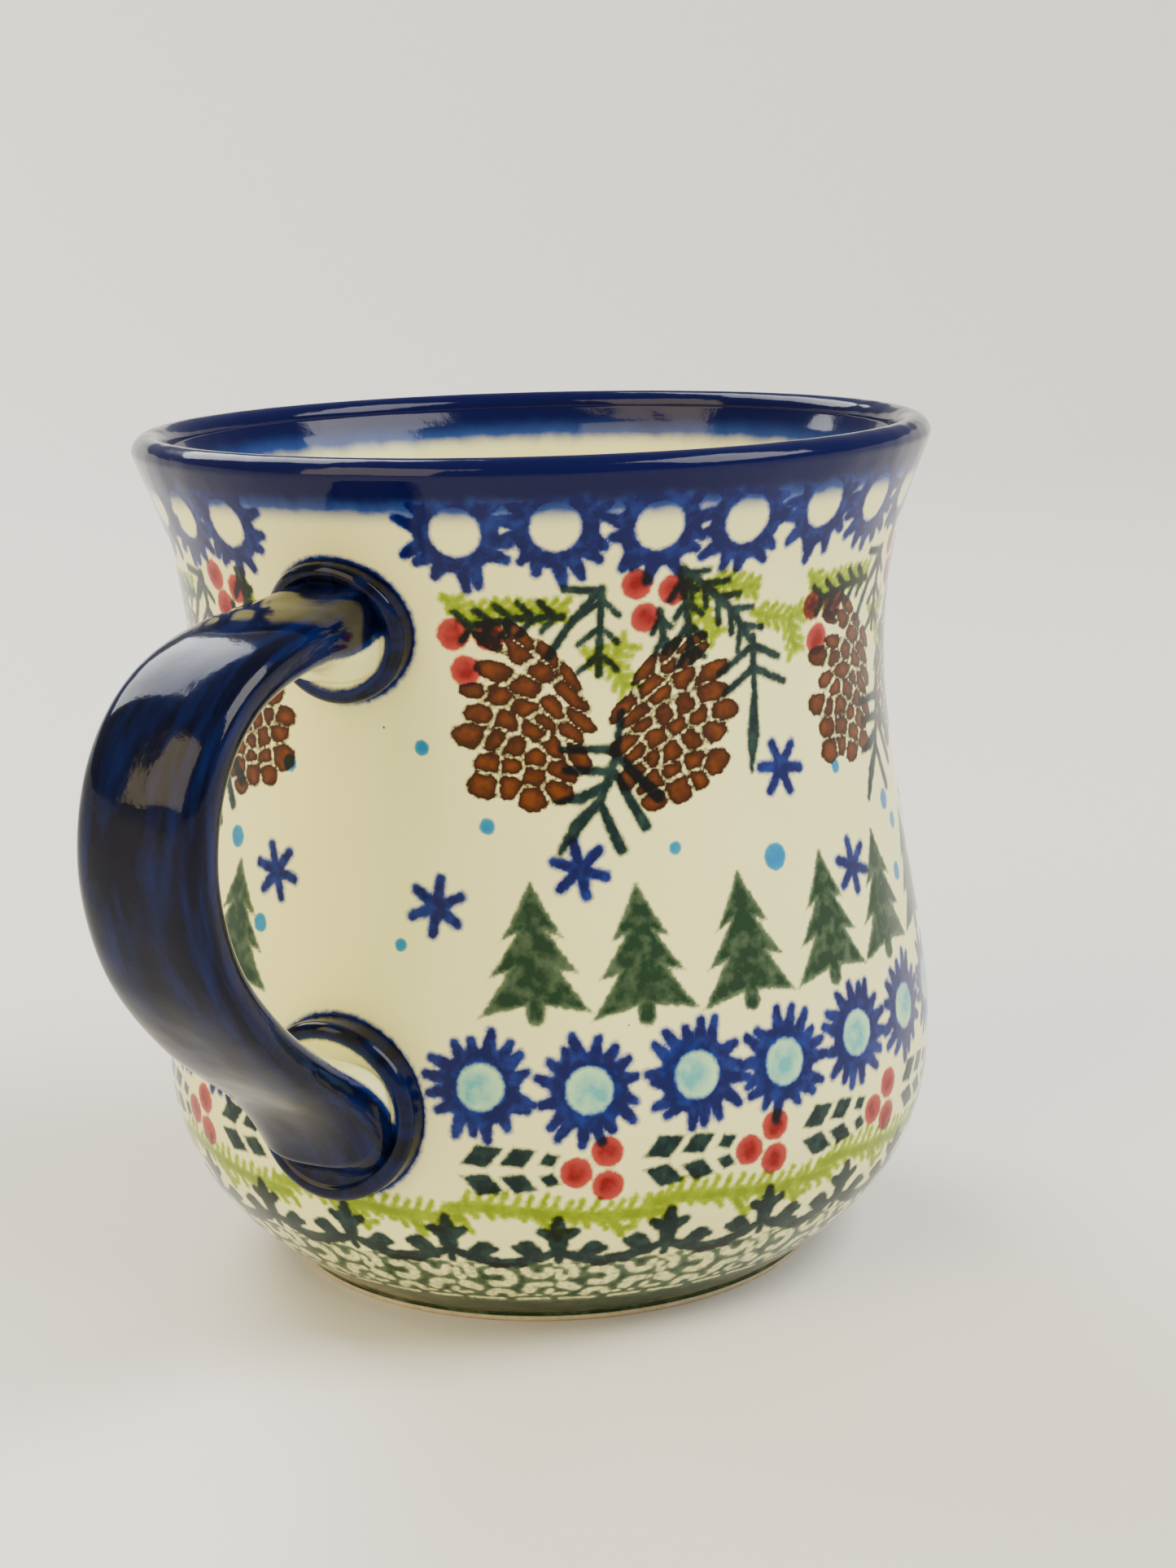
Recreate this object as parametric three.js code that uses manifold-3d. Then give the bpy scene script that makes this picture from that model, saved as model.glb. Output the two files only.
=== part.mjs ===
// A round-bellied stoneware mug: a thrown cup, a pulled strap handle, and the two collars of
// clay slip that join the handle's ends to the cup. Millimetres, +Z up, standing on z = 0.
// The handle reaches out along -X.
import * as THREE from "three";
import { mergeVertices } from "three/addons/utils/BufferGeometryUtils.js";
import Module from "manifold-3d";

const wasm = await Module();
wasm.setup();

// --- Driving dimensions -------------------------------------------------------------------

// The cup's outer wall, from the lip down to the foot. A drop is measured down from the lip,
// and a height up from the table.
const cupHeight = 95;
const rimRadius = 44.5;
const flareRadius = 40.7;
const flareDrop = 13;
const waistRadius = 39.35;
const waistDrop = 28;
const bellyRadius = 44.3;
const bellyHeight = 26;
const lowerBellyRadius = 42.8;
const lowerBellyHeight = 15.2;
const tuckRadius = 38.3;
const tuckHeight = 7.6;
const footRadius = 30.8;
const footHeight = 1;

// The clay's thickness, and the foot that the mug stands on.
const wallThickness = 4.2;
const lipThickness = 3.8;
const floorThickness = 6;
const floorFillet = 9;
const footRingWidth = 4;
const footRecess = 2.4;
const footRecessSlope = 1.6;

// The strap handle. The middle of the strap leaves the cup's wall at the upper root and comes
// back to it at the lower root. Between them it goes through these stations: its rise is counted
// from 0 at the lower root to 1 at the upper root, and its clearance is measured from the wall.
const upperRoot = { drop: 17.7, width: 12, thickness: 10.4 };
const archStart = { rise: 1.016, clearance: 13 };
const archShoulder = { rise: 0.954, clearance: 24.8 };
const archTurn = { rise: 0.835, clearance: 31.2 };
const handleReach = { rise: 0.655, clearance: 33 };
const gripEnd = { rise: 0.46, clearance: 29.1 };
const sweepStart = { rise: 0.277, clearance: 20.3 };
const sweepEnd = { rise: 0.122, clearance: 9.2 };
const lowerRoot = { height: 27.1, width: 15.2, thickness: 12 };
const strapWidth = 14.8;
const strapThickness = 6;
const strapRoundness = 2.8;
const rootBlend = 11;
const rootDepth = 8;

// The collars round the strap's two roots.
const collarBorder = 2.2;
const collarProud = 2.6;
const collarSink = 2.5;
const collarRounding = 1.3;

// Separate pieces keep this much between their faces.
const pieceGap = 0.3;

// Smoothness of the round shapes.
const cupSegments = 72;
const wallSteps = 19;
const wallSamples = 400;
const lipSteps = 8;
const filletSteps = 6;
const strapSteps = 44;
const strapSides = 20;
const collarSteps = 20;
const collarRoundSteps = 4;

// Points of one mesh that are closer than this are one point.
const mergeTolerance = 1e-4;

// --- Finishes -----------------------------------------------------------------------------

const creamGlaze = { color: 0xe6dfc2, roughness: 0.16, metalness: 0 };
const cobaltGlaze = { color: 0x16265f, roughness: 0.14, metalness: 0 };

// --- Solids -------------------------------------------------------------------------------

/** A manifold-3d solid of a closed geometry, made from its positions alone. */
function solidOf(geometry) {
  const bare = geometry.clone();
  bare.deleteAttribute("normal");
  bare.deleteAttribute("uv");
  const merged = mergeVertices(bare, mergeTolerance);
  const vertProperties = merged.attributes.position.array;
  const triVerts = new Uint32Array(merged.index.array);
  return new wasm.Manifold(new wasm.Mesh({ numProp: 3, vertProperties, triVerts }));
}

/** The geometry of a manifold-3d solid. */
function geometryOf(solid) {
  const { vertProperties, triVerts } = solid.getMesh();
  const geometry = new THREE.BufferGeometry();
  geometry.setAttribute("position", new THREE.BufferAttribute(vertProperties, 3));
  geometry.setIndex(new THREE.BufferAttribute(triVerts, 1));
  geometry.computeVertexNormals();
  return geometry;
}

/** A named mesh in its own finish. */
function piece(name, geometry, finish) {
  const mesh = new THREE.Mesh(geometry, new THREE.MeshStandardMaterial(finish));
  mesh.name = name;
  return mesh;
}

/** A solid of revolution about Z, from (radius, height) points that start and end on the axis. */
function turned(profile) {
  const lathe = new THREE.LatheGeometry(profile, cupSegments);
  return lathe.rotateX(Math.PI / 2);
}

// --- The cup ------------------------------------------------------------------------------

const lipRadius = lipThickness / 2;

/** The outer wall as a curve of (radius, height), from the top of the foot to the side of the lip. */
const outerWall = new THREE.CatmullRomCurve3(
  [
    [footRadius, footHeight],
    [tuckRadius, tuckHeight],
    [lowerBellyRadius, lowerBellyHeight],
    [bellyRadius, bellyHeight],
    [waistRadius, cupHeight - waistDrop],
    [flareRadius, cupHeight - flareDrop],
    [rimRadius, cupHeight - lipRadius],
  ].map(([radius, height]) => new THREE.Vector3(radius, height, 0)),
);

/** Points on the outer wall moved outwards by a distance: negative goes into the clay. */
function wallOffset(distance) {
  const points = [];
  for (let step = 0; step <= wallSteps; step += 1) {
    const share = step / wallSteps;
    const at = outerWall.getPointAt(share);
    const along = outerWall.getTangentAt(share);
    points.push(new THREE.Vector2(at.x + along.y * distance, at.y - along.x * distance));
  }
  return points;
}

/** The outer wall's radius at a height. */
function wallRadiusAt(height) {
  const points = outerWall.getPoints(wallSamples);
  const above = points.findIndex((point) => point.y >= height);
  return points[above].x;
}

/** The cup's profile: underside, foot ring, outer wall, lip, inner wall and floor. */
function cupProfile() {
  const recessRadius = footRadius - footRingWidth;
  const underside = [
    new THREE.Vector2(0, footRecess),
    new THREE.Vector2(recessRadius - footRecessSlope, footRecess),
    new THREE.Vector2(recessRadius, 0),
    new THREE.Vector2(footRadius, 0),
  ];
  const lip = new THREE.EllipseCurve(
    rimRadius - lipRadius,
    cupHeight - lipRadius,
    lipRadius,
    lipRadius,
    0,
    Math.PI,
  );
  const filletTop = floorThickness + floorFillet;
  const innerWall = wallOffset(-wallThickness)
    .filter((point) => point.y > filletTop && point.y < cupHeight - lipThickness)
    .reverse();
  const filletStart = innerWall[innerWall.length - 1];
  const fillet = new THREE.QuadraticBezierCurve(
    filletStart,
    new THREE.Vector2(filletStart.x - floorFillet / 2, floorThickness),
    new THREE.Vector2(filletStart.x - 2 * floorFillet, floorThickness),
  );
  return [
    ...underside,
    ...wallOffset(0).slice(0, -1),
    ...lip.getPoints(lipSteps),
    ...innerWall,
    ...fillet.getPoints(filletSteps).slice(1),
    new THREE.Vector2(0, floorThickness),
  ];
}

/** A solid block of the cup's outer shape, larger all round by the gap between pieces. */
function cupBlock() {
  const wall = wallOffset(pieceGap);
  const top = wall[wall.length - 1];
  const profile = [
    new THREE.Vector2(0, 0),
    ...wall,
    new THREE.Vector2(top.x, cupHeight + pieceGap),
    new THREE.Vector2(0, cupHeight + pieceGap),
  ];
  return solidOf(turned(profile));
}

// --- The handle ---------------------------------------------------------------------------

const upperRootHeight = cupHeight - upperRoot.drop;

/** A point at a height, a clearance outside the cup's wall, on the handle's side. */
function besideWall(height, clearance) {
  return new THREE.Vector3(-wallRadiusAt(height) - clearance, 0, height);
}

/** A point of the strap's middle line from its rise and its clearance. */
function strapPoint({ rise, clearance }) {
  const height = THREE.MathUtils.lerp(lowerRoot.height, upperRootHeight, rise);
  return besideWall(height, clearance);
}

const upperRootPoint = besideWall(upperRootHeight, 0);
const lowerRootPoint = besideWall(lowerRoot.height, 0);

/** The buried end of the strap: it runs straight on from its neighbour through the root. */
function buriedEnd(rootPoint, neighbour) {
  const inwards = rootPoint.clone().sub(strapPoint(neighbour)).setLength(rootDepth);
  return inwards.add(rootPoint);
}

/** The middle line of the strap, from its buried upper end to its buried lower end. */
const strapPath = new THREE.CatmullRomCurve3([
  buriedEnd(upperRootPoint, archStart),
  upperRootPoint,
  ...[archStart, archShoulder, archTurn, handleReach].map(strapPoint),
  ...[gripEnd, sweepStart, sweepEnd].map(strapPoint),
  lowerRootPoint,
  buriedEnd(lowerRootPoint, sweepEnd),
]);

/** The strap's width and thickness at a distance along it: outside its collar, each root blends into the strap. */
function strapSection(distance, length) {
  const nearUpper = distance < length / 2;
  const root = nearUpper ? upperRoot : lowerRoot;
  const fromCollar = (nearUpper ? distance : length - distance) - rootDepth - collarProud;
  const share = Math.min(Math.max(1 - fromCollar / rootBlend, 0), 1) ** 2;
  return {
    width: THREE.MathUtils.lerp(strapWidth, root.width, share),
    thickness: THREE.MathUtils.lerp(strapThickness, root.thickness, share),
  };
}

/** A rounded strap along strapPath, larger all round by a margin. Its ends are closed. */
function strap(margin) {
  const length = strapPath.getLength();
  const across = new THREE.Vector3(0, 1, 0);
  const positions = [];
  const triangles = [];
  for (let step = 0; step <= strapSteps; step += 1) {
    const share = step / strapSteps;
    const centre = strapPath.getPointAt(share);
    const outwards = strapPath.getTangentAt(share).cross(across);
    const section = strapSection(share * length, length);
    const halfWidth = section.width / 2 + margin;
    const halfThickness = section.thickness / 2 + margin;
    for (let side = 0; side < strapSides; side += 1) {
      const turn = (2 * Math.PI * side) / strapSides;
      const power = 2 / strapRoundness;
      const sideways = Math.sign(Math.cos(turn)) * Math.abs(Math.cos(turn)) ** power;
      const upwards = Math.sign(Math.sin(turn)) * Math.abs(Math.sin(turn)) ** power;
      const point = centre
        .clone()
        .addScaledVector(across, sideways * halfWidth)
        .addScaledVector(outwards, upwards * halfThickness);
      positions.push(point.x, point.y, point.z);
    }
  }
  for (let step = 0; step < strapSteps; step += 1) {
    for (let side = 0; side < strapSides; side += 1) {
      const a = step * strapSides + side;
      const b = step * strapSides + ((side + 1) % strapSides);
      triangles.push(a, b, a + strapSides, b, b + strapSides, a + strapSides);
    }
  }
  const lastRing = strapSteps * strapSides;
  for (let side = 1; side < strapSides - 1; side += 1) {
    triangles.push(0, side + 1, side, lastRing, lastRing + side, lastRing + side + 1);
  }
  const geometry = new THREE.BufferGeometry();
  geometry.setAttribute("position", new THREE.Float32BufferAttribute(positions, 3));
  geometry.setIndex(triangles);
  return solidOf(geometry);
}

// --- The collars --------------------------------------------------------------------------

/** An oval pad with rounded edges, square on the cup's wall, a border larger than a root. */
function collarPad(root, rootPoint, neighbour) {
  const strapRun = strapPoint(neighbour).sub(rootPoint);
  const strapSlope = -strapRun.z / strapRun.x;
  const height = rootPoint.z + (strapSlope * collarProud) / 2;
  const halfHeight = (root.thickness / 2) * Math.hypot(1, strapSlope) + collarBorder;
  const halfWidth = root.width / 2 + collarBorder;
  const oval = new THREE.Shape().absellipse(
    0,
    0,
    halfHeight - collarRounding,
    halfWidth - collarRounding,
    0,
    2 * Math.PI,
  );
  const pad = new THREE.ExtrudeGeometry(oval, {
    depth: collarSink + collarProud - 2 * collarRounding,
    bevelThickness: collarRounding,
    bevelSize: collarRounding,
    bevelSegments: collarRoundSteps,
    curveSegments: collarSteps,
  });
  const wallRise = wallRadiusAt(height + halfHeight / 2) - wallRadiusAt(height - halfHeight / 2);
  pad.translate(0, 0, collarRounding - collarSink);
  pad.rotateY(-Math.PI / 2 - Math.atan2(wallRise, halfHeight));
  pad.translate(-wallRadiusAt(height), 0, height);
  return solidOf(pad);
}

// --- The mug ------------------------------------------------------------------------------

const block = cupBlock();
const strapRoom = strap(pieceGap);

/** A collar: its pad, less the cup and the strap that it goes round. */
function collar(root, rootPoint, neighbour) {
  const pad = collarPad(root, rootPoint, neighbour);
  return geometryOf(pad.subtract(block).subtract(strapRoom));
}

const mug = new THREE.Group();
mug.add(piece("cup_body", turned(cupProfile()), creamGlaze));
mug.add(piece("handle", geometryOf(strap(0).subtract(block)), cobaltGlaze));
const upperCollar = collar(upperRoot, upperRootPoint, archStart);
const lowerCollar = collar(lowerRoot, lowerRootPoint, sweepEnd);
mug.add(piece("upper_handle_collar", upperCollar, cobaltGlaze));
mug.add(piece("lower_handle_collar", lowerCollar, cobaltGlaze));

// The origin is on the table, under the middle of the whole outline.
const outline = new THREE.Box3().setFromObject(mug);
mug.position.x = -(outline.min.x + outline.max.x) / 2;

export default mug;
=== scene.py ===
"""The looks of a round-bellied stoneware mug: thrown cup, pulled strap handle and two collars.

Everything is in metres in the part's own frame. Sizes are given in millimetres and turned into
metres where a mesh is made. The painted decoration is laid out on the cup's unrolled wall: each
pigment is a field of signed distances in millimetres, negative inside the paint, which the glaze
material turns into colour.
"""

import logging
import math
from dataclasses import dataclass, field
from enum import Enum
from typing import Callable, Sequence

import bpy
import numpy as np
from mathutils import Matrix, Vector

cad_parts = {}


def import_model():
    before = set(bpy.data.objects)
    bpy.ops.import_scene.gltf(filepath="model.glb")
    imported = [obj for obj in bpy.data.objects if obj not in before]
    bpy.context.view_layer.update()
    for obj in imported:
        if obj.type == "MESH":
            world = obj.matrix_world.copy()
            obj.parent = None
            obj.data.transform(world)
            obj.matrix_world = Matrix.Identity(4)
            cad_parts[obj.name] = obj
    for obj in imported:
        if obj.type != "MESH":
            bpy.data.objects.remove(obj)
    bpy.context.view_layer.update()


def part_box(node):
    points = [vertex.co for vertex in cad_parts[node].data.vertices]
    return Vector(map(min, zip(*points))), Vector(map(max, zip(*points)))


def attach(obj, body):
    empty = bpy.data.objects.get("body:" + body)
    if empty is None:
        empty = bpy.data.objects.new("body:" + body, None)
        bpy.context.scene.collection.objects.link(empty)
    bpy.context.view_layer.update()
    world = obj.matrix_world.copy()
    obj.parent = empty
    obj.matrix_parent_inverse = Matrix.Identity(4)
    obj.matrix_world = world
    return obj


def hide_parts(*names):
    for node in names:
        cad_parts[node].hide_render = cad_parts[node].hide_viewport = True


log = logging.getLogger("stoneware_mug")

MM = 0.001
FAR = 4.0
MARK_MARGIN = 1.0
TAPER = 0.9
NEEDLE_TAPER = 0.85
FIRST_NEEDLE = 0.4
NEEDLE_LOOK = 0.2
WRAP_MAP = "wrap"
Field = np.ndarray
Shape = Callable[[Field, Field], Field]
Colour = tuple[float, float, float, float]


class Pigment(Enum):
    """The colours that the decorator works with, each one layer of the painting."""

    COBALT = "cobalt"
    SKY = "sky"
    WASH = "wash"
    FIR = "fir"
    PINE = "pine"
    LIME = "lime"
    BROWN = "brown"
    RED = "red"


# --- Curves -------------------------------------------------------------------------------


def centripetal_curve(stations: Field, samples: int) -> Field:
    """A smooth curve through stations, by centripetal Catmull-Rom pieces.

    Between two stations the curve is the cubic that leaves each with a slope taken from its two
    neighbours, with knots spaced by the square root of the distances. The neighbour past each
    end is the mirror image of the one inside.

    Args:
        stations: points as rows, of any dimension.
        samples: how many points each piece gets.

    Returns:
        Points along the whole curve, as rows.
    """
    first = 2 * stations[:1] - stations[1:2]
    last = 2 * stations[-1:] - stations[-2:-1]
    row = np.concatenate([first, stations, last])
    before, start, end, after = row[:-3], row[1:-2], row[2:-1], row[3:]
    knots = np.sqrt(np.linalg.norm(np.diff(row, axis=0), axis=1))[:, None]
    k0, k1, k2 = knots[:-2], knots[1:-1], knots[2:]
    leave = ((start - before) / k0 - (end - before) / (k0 + k1) + (end - start) / k1) * k1
    arrive = ((end - start) / k1 - (after - start) / (k1 + k2) + (after - end) / k2) * k1
    t = np.linspace(0, 1, samples, endpoint=False)[None, :, None]
    c2 = (3 * (end - start) - 2 * leave - arrive)[:, None]
    c3 = (2 * (start - end) + leave + arrive)[:, None]
    points = start[:, None] + leave[:, None] * t + c2 * t**2 + c3 * t**3
    return np.concatenate([points.reshape(-1, stations.shape[1]), stations[-1:]])


def run_lengths(points: Field) -> Field:
    """The distance along a polyline at each of its points, starting from 0."""
    steps = np.linalg.norm(np.diff(points, axis=0), axis=1)
    return np.concatenate([[0.0], np.cumsum(steps)])


def points_at(points: Field, distances: Field) -> Field:
    """The points of a polyline at given distances along it."""
    lengths = run_lengths(points)
    columns = [np.interp(distances, lengths, points[:, i]) for i in range(points.shape[1])]
    return np.stack(columns, axis=-1)


def directions(points: Field) -> Field:
    """The unit direction of travel at each point of a polyline."""
    along = np.gradient(points, axis=0)
    return along / np.linalg.norm(along, axis=1, keepdims=True)


def smooth_step(values: Field, low: float, high: float) -> Field:
    """0 below low, 1 above high, and an S-shaped rise between: 3t squared less 2t cubed."""
    t = np.clip((values - low) / (high - low), 0, 1)
    return t * t * (3 - 2 * t)


# --- Meshes -------------------------------------------------------------------------------


def skin_mesh(
    name: str,
    points: Field,
    wrap: Field,
    layers: dict[str, Field],
    normals: Field | None = None,
    ring: bool = False,
) -> bpy.types.Object:
    """A closed skin over a grid of points that goes round in its columns.

    Args:
        name: the object's name.
        points: (rows, columns, 3) in metres.
        wrap: (rows, columns + 1, 2), the wrap map, with one column more where it closes.
        layers: values at each point, (rows, columns), kept as attributes.
        normals: (rows, columns, 3), the way that the surface faces, or None to work it out.
        ring: True if the last row joins the first, else each end is closed at its middle.

    Returns:
        The object, with every face outwards.
    """
    rows, columns = points.shape[:2]
    grid = np.arange(rows * columns).reshape(rows, columns)
    if ring:
        grid = np.concatenate([grid, grid[:1]])
        wrap = np.concatenate([wrap, wrap[:1]])
    here, beside = grid, np.roll(grid, -1, axis=1)
    quads = np.stack([here[:-1], beside[:-1], beside[1:], here[1:]], -1).reshape(-1, 4)
    corner = (wrap[:-1, :-1], wrap[:-1, 1:], wrap[1:, 1:], wrap[1:, :-1])
    quad_wrap = np.stack(corner, 2).reshape(-1, 4, 2)
    vertices = points.reshape(-1, 3)
    fans = np.empty((0, 3), int)
    fan_wrap = np.empty((0, 3, 2))
    if not ring:
        poles = np.stack([points[0].mean(0), points[-1].mean(0)])
        first, last = len(vertices), len(vertices) + 1
        vertices = np.concatenate([vertices, poles])
        start = np.stack([beside[0], here[0], np.full(columns, first)], -1)
        end = np.stack([here[-1], beside[-1], np.full(columns, last)], -1)
        fans = np.concatenate([start, end])
        start_wrap = np.stack([wrap[0, 1:], wrap[0, :-1], wrap[0, :-1]], 1)
        end_wrap = np.stack([wrap[-1, :-1], wrap[-1, 1:], wrap[-1, :-1]], 1)
        fan_wrap = np.concatenate([start_wrap, end_wrap])
    a, b, c, d = (vertices[quads[:, i]] for i in range(4))
    volume = np.sum(np.cross(a, b) * c) + np.sum(np.cross(a, c) * d)
    if volume < 0:
        quads, quad_wrap = quads[:, ::-1], quad_wrap[:, ::-1]
        fans, fan_wrap = fans[:, ::-1], fan_wrap[:, ::-1]
    mesh = bpy.data.meshes.new(name)
    mesh.vertices.add(len(vertices))
    mesh.vertices.foreach_set("co", vertices.astype(np.float32).ravel())
    corners = np.concatenate([quads.ravel(), fans.ravel()]).astype(np.int32)
    mesh.loops.add(len(corners))
    mesh.loops.foreach_set("vertex_index", corners)
    sizes = np.concatenate([np.full(len(quads), 4), np.full(len(fans), 3)])
    mesh.polygons.add(len(sizes))
    mesh.polygons.foreach_set("loop_start", (np.cumsum(sizes) - sizes).astype(np.int32))
    mesh.polygons.foreach_set("use_smooth", np.ones(len(sizes), bool))
    uv_layer = mesh.uv_layers.new(name=WRAP_MAP)
    uv = np.concatenate([quad_wrap.reshape(-1, 2), fan_wrap.reshape(-1, 2)])
    uv_layer.data.foreach_set("uv", uv.astype(np.float32).ravel())
    for layer, values in layers.items():
        flat = values.ravel()
        if not ring:
            flat = np.concatenate([flat, [values[0].mean(), values[-1].mean()]])
        attribute = mesh.attributes.new(layer, "FLOAT", "POINT")
        attribute.data.foreach_set("value", flat.astype(np.float32))
    mesh.update(calc_edges=True)
    if normals is not None:
        facing = normals.reshape(-1, 3)
        if not ring:
            facing = np.concatenate([facing, [normals[0].mean(0), normals[-1].mean(0)]])
            facing = facing / np.linalg.norm(facing, axis=1, keepdims=True)
        mesh.normals_split_custom_set_from_vertices(facing.astype(np.float32))
    made = bpy.data.objects.new(name, mesh)
    bpy.context.scene.collection.objects.link(made)
    return made


# --- Marks of the decoration ---------------------------------------------------------------


def disc(radius: float) -> Shape:
    """A round dab: distance from its middle, less its radius."""
    return lambda across, up: np.hypot(across, up) - radius


def oval(half_width: float, half_height: float) -> Shape:
    """An oval: the scaled distance from its middle less 1, times its smaller half size."""
    size = min(half_width, half_height)
    return lambda across, up: (np.hypot(across / half_width, up / half_height) - 1) * size


def hoop(radius: float, half_width: float) -> Shape:
    """A round band: how far a point's distance from the middle is from radius."""
    return lambda across, up: np.abs(np.hypot(across, up) - radius) - half_width


def lozenge(half_length: float, half_width: float, lean: float) -> Shape:
    """A four-sided leaf with its long diagonal turned by lean degrees.

    The distance is |u| over half_length plus |v| over half_width less 1, times the inner radius.
    """
    c, s = math.cos(math.radians(lean)), math.sin(math.radians(lean))
    inner = half_length * half_width / math.hypot(half_length, half_width)

    def distance(across: Field, up: Field) -> Field:
        """The distance to the leaf."""
        u, v = across * c + up * s, up * c - across * s
        return (np.abs(u) / half_length + np.abs(v) / half_width - 1) * inner

    return distance


def strokes(lines: Sequence[Sequence[float]]) -> Shape:
    """Brush strokes, each (x0, y0, x1, y1, half width at its start, half width at its end).

    The distance to a stroke is that to its line, less the half width at the nearest place.
    """
    table = np.array(lines, float)
    x0, y0, x1, y1, w0, w1 = (table[:, i, None, None] for i in range(6))
    run, rise = x1 - x0, y1 - y0
    square = np.maximum(run**2 + rise**2, 1e-9)

    def distance(across: Field, up: Field) -> Field:
        """The distance to the nearest stroke."""
        t = np.clip(((across - x0) * run + (up - y0) * rise) / square, 0, 1)
        apart = np.hypot(across - x0 - t * run, up - y0 - t * rise)
        return (apart - w0 - t * (w1 - w0)).min(axis=0)

    return distance


def arcs(table: Sequence[Sequence[float]]) -> Shape:
    """Curled strokes, each (x, y, radius, start, sweep, half width) with angles in degrees.

    Inside its sweep the distance is that from the circle, and past it that from the nearer end,
    less the half width.
    """
    values = np.array(table, float)
    x, y, radius, start, sweep, half = (values[:, i, None, None] for i in range(6))
    middle, reach = np.radians(start + sweep / 2), np.radians(sweep / 2)

    def distance(across: Field, up: Field) -> Field:
        """The distance to the nearest curl."""
        right, high = across - x, up - y
        turn = np.arctan2(high, right) - middle
        turn = np.abs(np.angle(np.exp(1j * turn)))
        far = np.hypot(right, high)
        past = np.maximum(turn - reach, 0)
        end = np.sqrt(np.maximum(far**2 + radius**2 - 2 * far * radius * np.cos(past), 0))
        return (np.where(past > 0, end, np.abs(far - radius)) - half).min(axis=0)

    return distance


def joined(*shapes: Shape) -> Shape:
    """Several marks as one: the smallest of their distances."""
    return lambda across, up: np.minimum.reduce([shape(across, up) for shape in shapes])


def twig(
    spine: Sequence[tuple[float, float]],
    needle: float,
    spacing: float,
    spread: float,
    stem_width: float,
    needle_width: float,
) -> list[tuple[float, ...]]:
    """The strokes of a fir twig: a stem through spine, with needles swept forward from it.

    Args:
        spine: the stem's points in millimetres.
        needle: a needle's length.
        spacing: the distance between pairs of needles.
        spread: the angle between a needle and the stem, in degrees.
        stem_width: half the stem's width.
        needle_width: half a needle's width.

    Returns:
        Rows for strokes().
    """
    line = np.array(spine, float)
    size = (stem_width, stem_width * TAPER)
    rows = [(*line[i], *line[i + 1], *size) for i in range(len(line) - 1)]
    length = run_lengths(line)[-1]
    places = np.arange(spacing * FIRST_NEEDLE, length + 1e-6, spacing)
    roots = points_at(line, places)
    ahead = points_at(line, np.minimum(places + NEEDLE_LOOK, length))
    behind = points_at(line, np.maximum(places - NEEDLE_LOOK, 0))
    headings = np.arctan2(*(ahead - behind).T[::-1])
    for side in (-1, 1):
        angle = headings + side * math.radians(spread)
        reach = needle * (0.88 + 0.24 * np.abs(np.sin(places * 2.3 + side)))
        tips = roots + np.stack([np.cos(angle), np.sin(angle)], 1) * reach[:, None]
        size = (needle_width, needle_width * NEEDLE_TAPER)
        rows += [(*root, *tip, *size) for root, tip in zip(roots, tips)]
    return rows


@dataclass(frozen=True)
class Sun:
    """A stamped sun: an open round middle, a ring and a row of short rays."""

    middle: float = 2.5
    ring: float = 1.45
    reach: float = 5.45
    rays: int = 14
    ray_width: float = 1.0
    ray_root: float = 0.6
    root_swell: float = 1.5
    tip_taper: float = 0.85
    angle_scatter: float = 0.24
    lean_scatter: float = 0.12
    shortest: float = 0.14
    longest: float = 0.08

    def shape(self, seed: int) -> Shape:
        """The ring and its rays, each ray with its own length and lean.

        Args:
            seed: sets the rays' lengths and leans.

        Returns:
            The distance function of the whole stamp.
        """
        chance = np.random.default_rng(seed)
        count = self.rays
        scatter = chance.uniform(-self.angle_scatter, self.angle_scatter, count)
        angle = 2 * math.pi / count * (np.arange(count) + 0.5 + scatter)
        start = self.middle + self.ring * self.ray_root
        end = self.reach * (1 + chance.uniform(-self.shortest, self.longest, count))
        tip = angle + chance.uniform(-self.lean_scatter, self.lean_scatter, count)
        half = np.full(count, self.ray_width / 2)
        root = (start * np.cos(angle), start * np.sin(angle))
        far = (end * np.cos(tip), end * np.sin(tip))
        rows = np.stack([*root, *far, half * self.root_swell, half * self.tip_taper], axis=1)
        ring = hoop(self.middle + self.ring / 2, self.ring / 2)
        return joined(ring, strokes(rows))


@dataclass(frozen=True)
class FirTree:
    """A stamped fir tree: three hanging tiers over a short trunk."""

    tier_bottoms: tuple[float, ...] = (7.9, 4.2, 0.2)
    tier_tops: tuple[float, ...] = (13.2, 9.6, 6.2)
    tier_widths: tuple[float, ...] = (5.9, 8.7, 10.9)
    tier_crowns: tuple[float, ...] = (0.2, 1.6, 3.2)
    droop: float = 1.1
    trunk_width: float = 1.7
    trunk_drop: float = 0.9
    trunk_top: float = 2.0
    tier_curve: float = 1.12
    round_off: float = 0.12

    def shape(self) -> Shape:
        """The tree's outline: each tier widens downwards, and its lower edge rises inwards."""

        def distance(across: Field, up: Field) -> Field:
            """The distance to the tree."""
            side = np.abs(across)
            foot = np.hypot(side, np.maximum(self.trunk_width / 2 - self.trunk_drop - up, 0))
            found = np.maximum(foot - self.trunk_width / 2, up - self.trunk_top)
            for low, top, width, crown in zip(
                self.tier_bottoms, self.tier_tops, self.tier_widths, self.tier_crowns
            ):
                share = np.clip((top - up) / (top - low), 0, 1.1)
                half = crown / 2 + (width - crown) / 2 * share**self.tier_curve
                slope = math.cos(math.atan2((width - crown) / 2, top - low))
                edge = low + self.droop * (1 - side / (width / 2))
                tier = np.maximum((side - half) * slope, edge - up)
                found = np.minimum(found, np.maximum(tier, up - top))
            return found - self.round_off

        return distance


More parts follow.
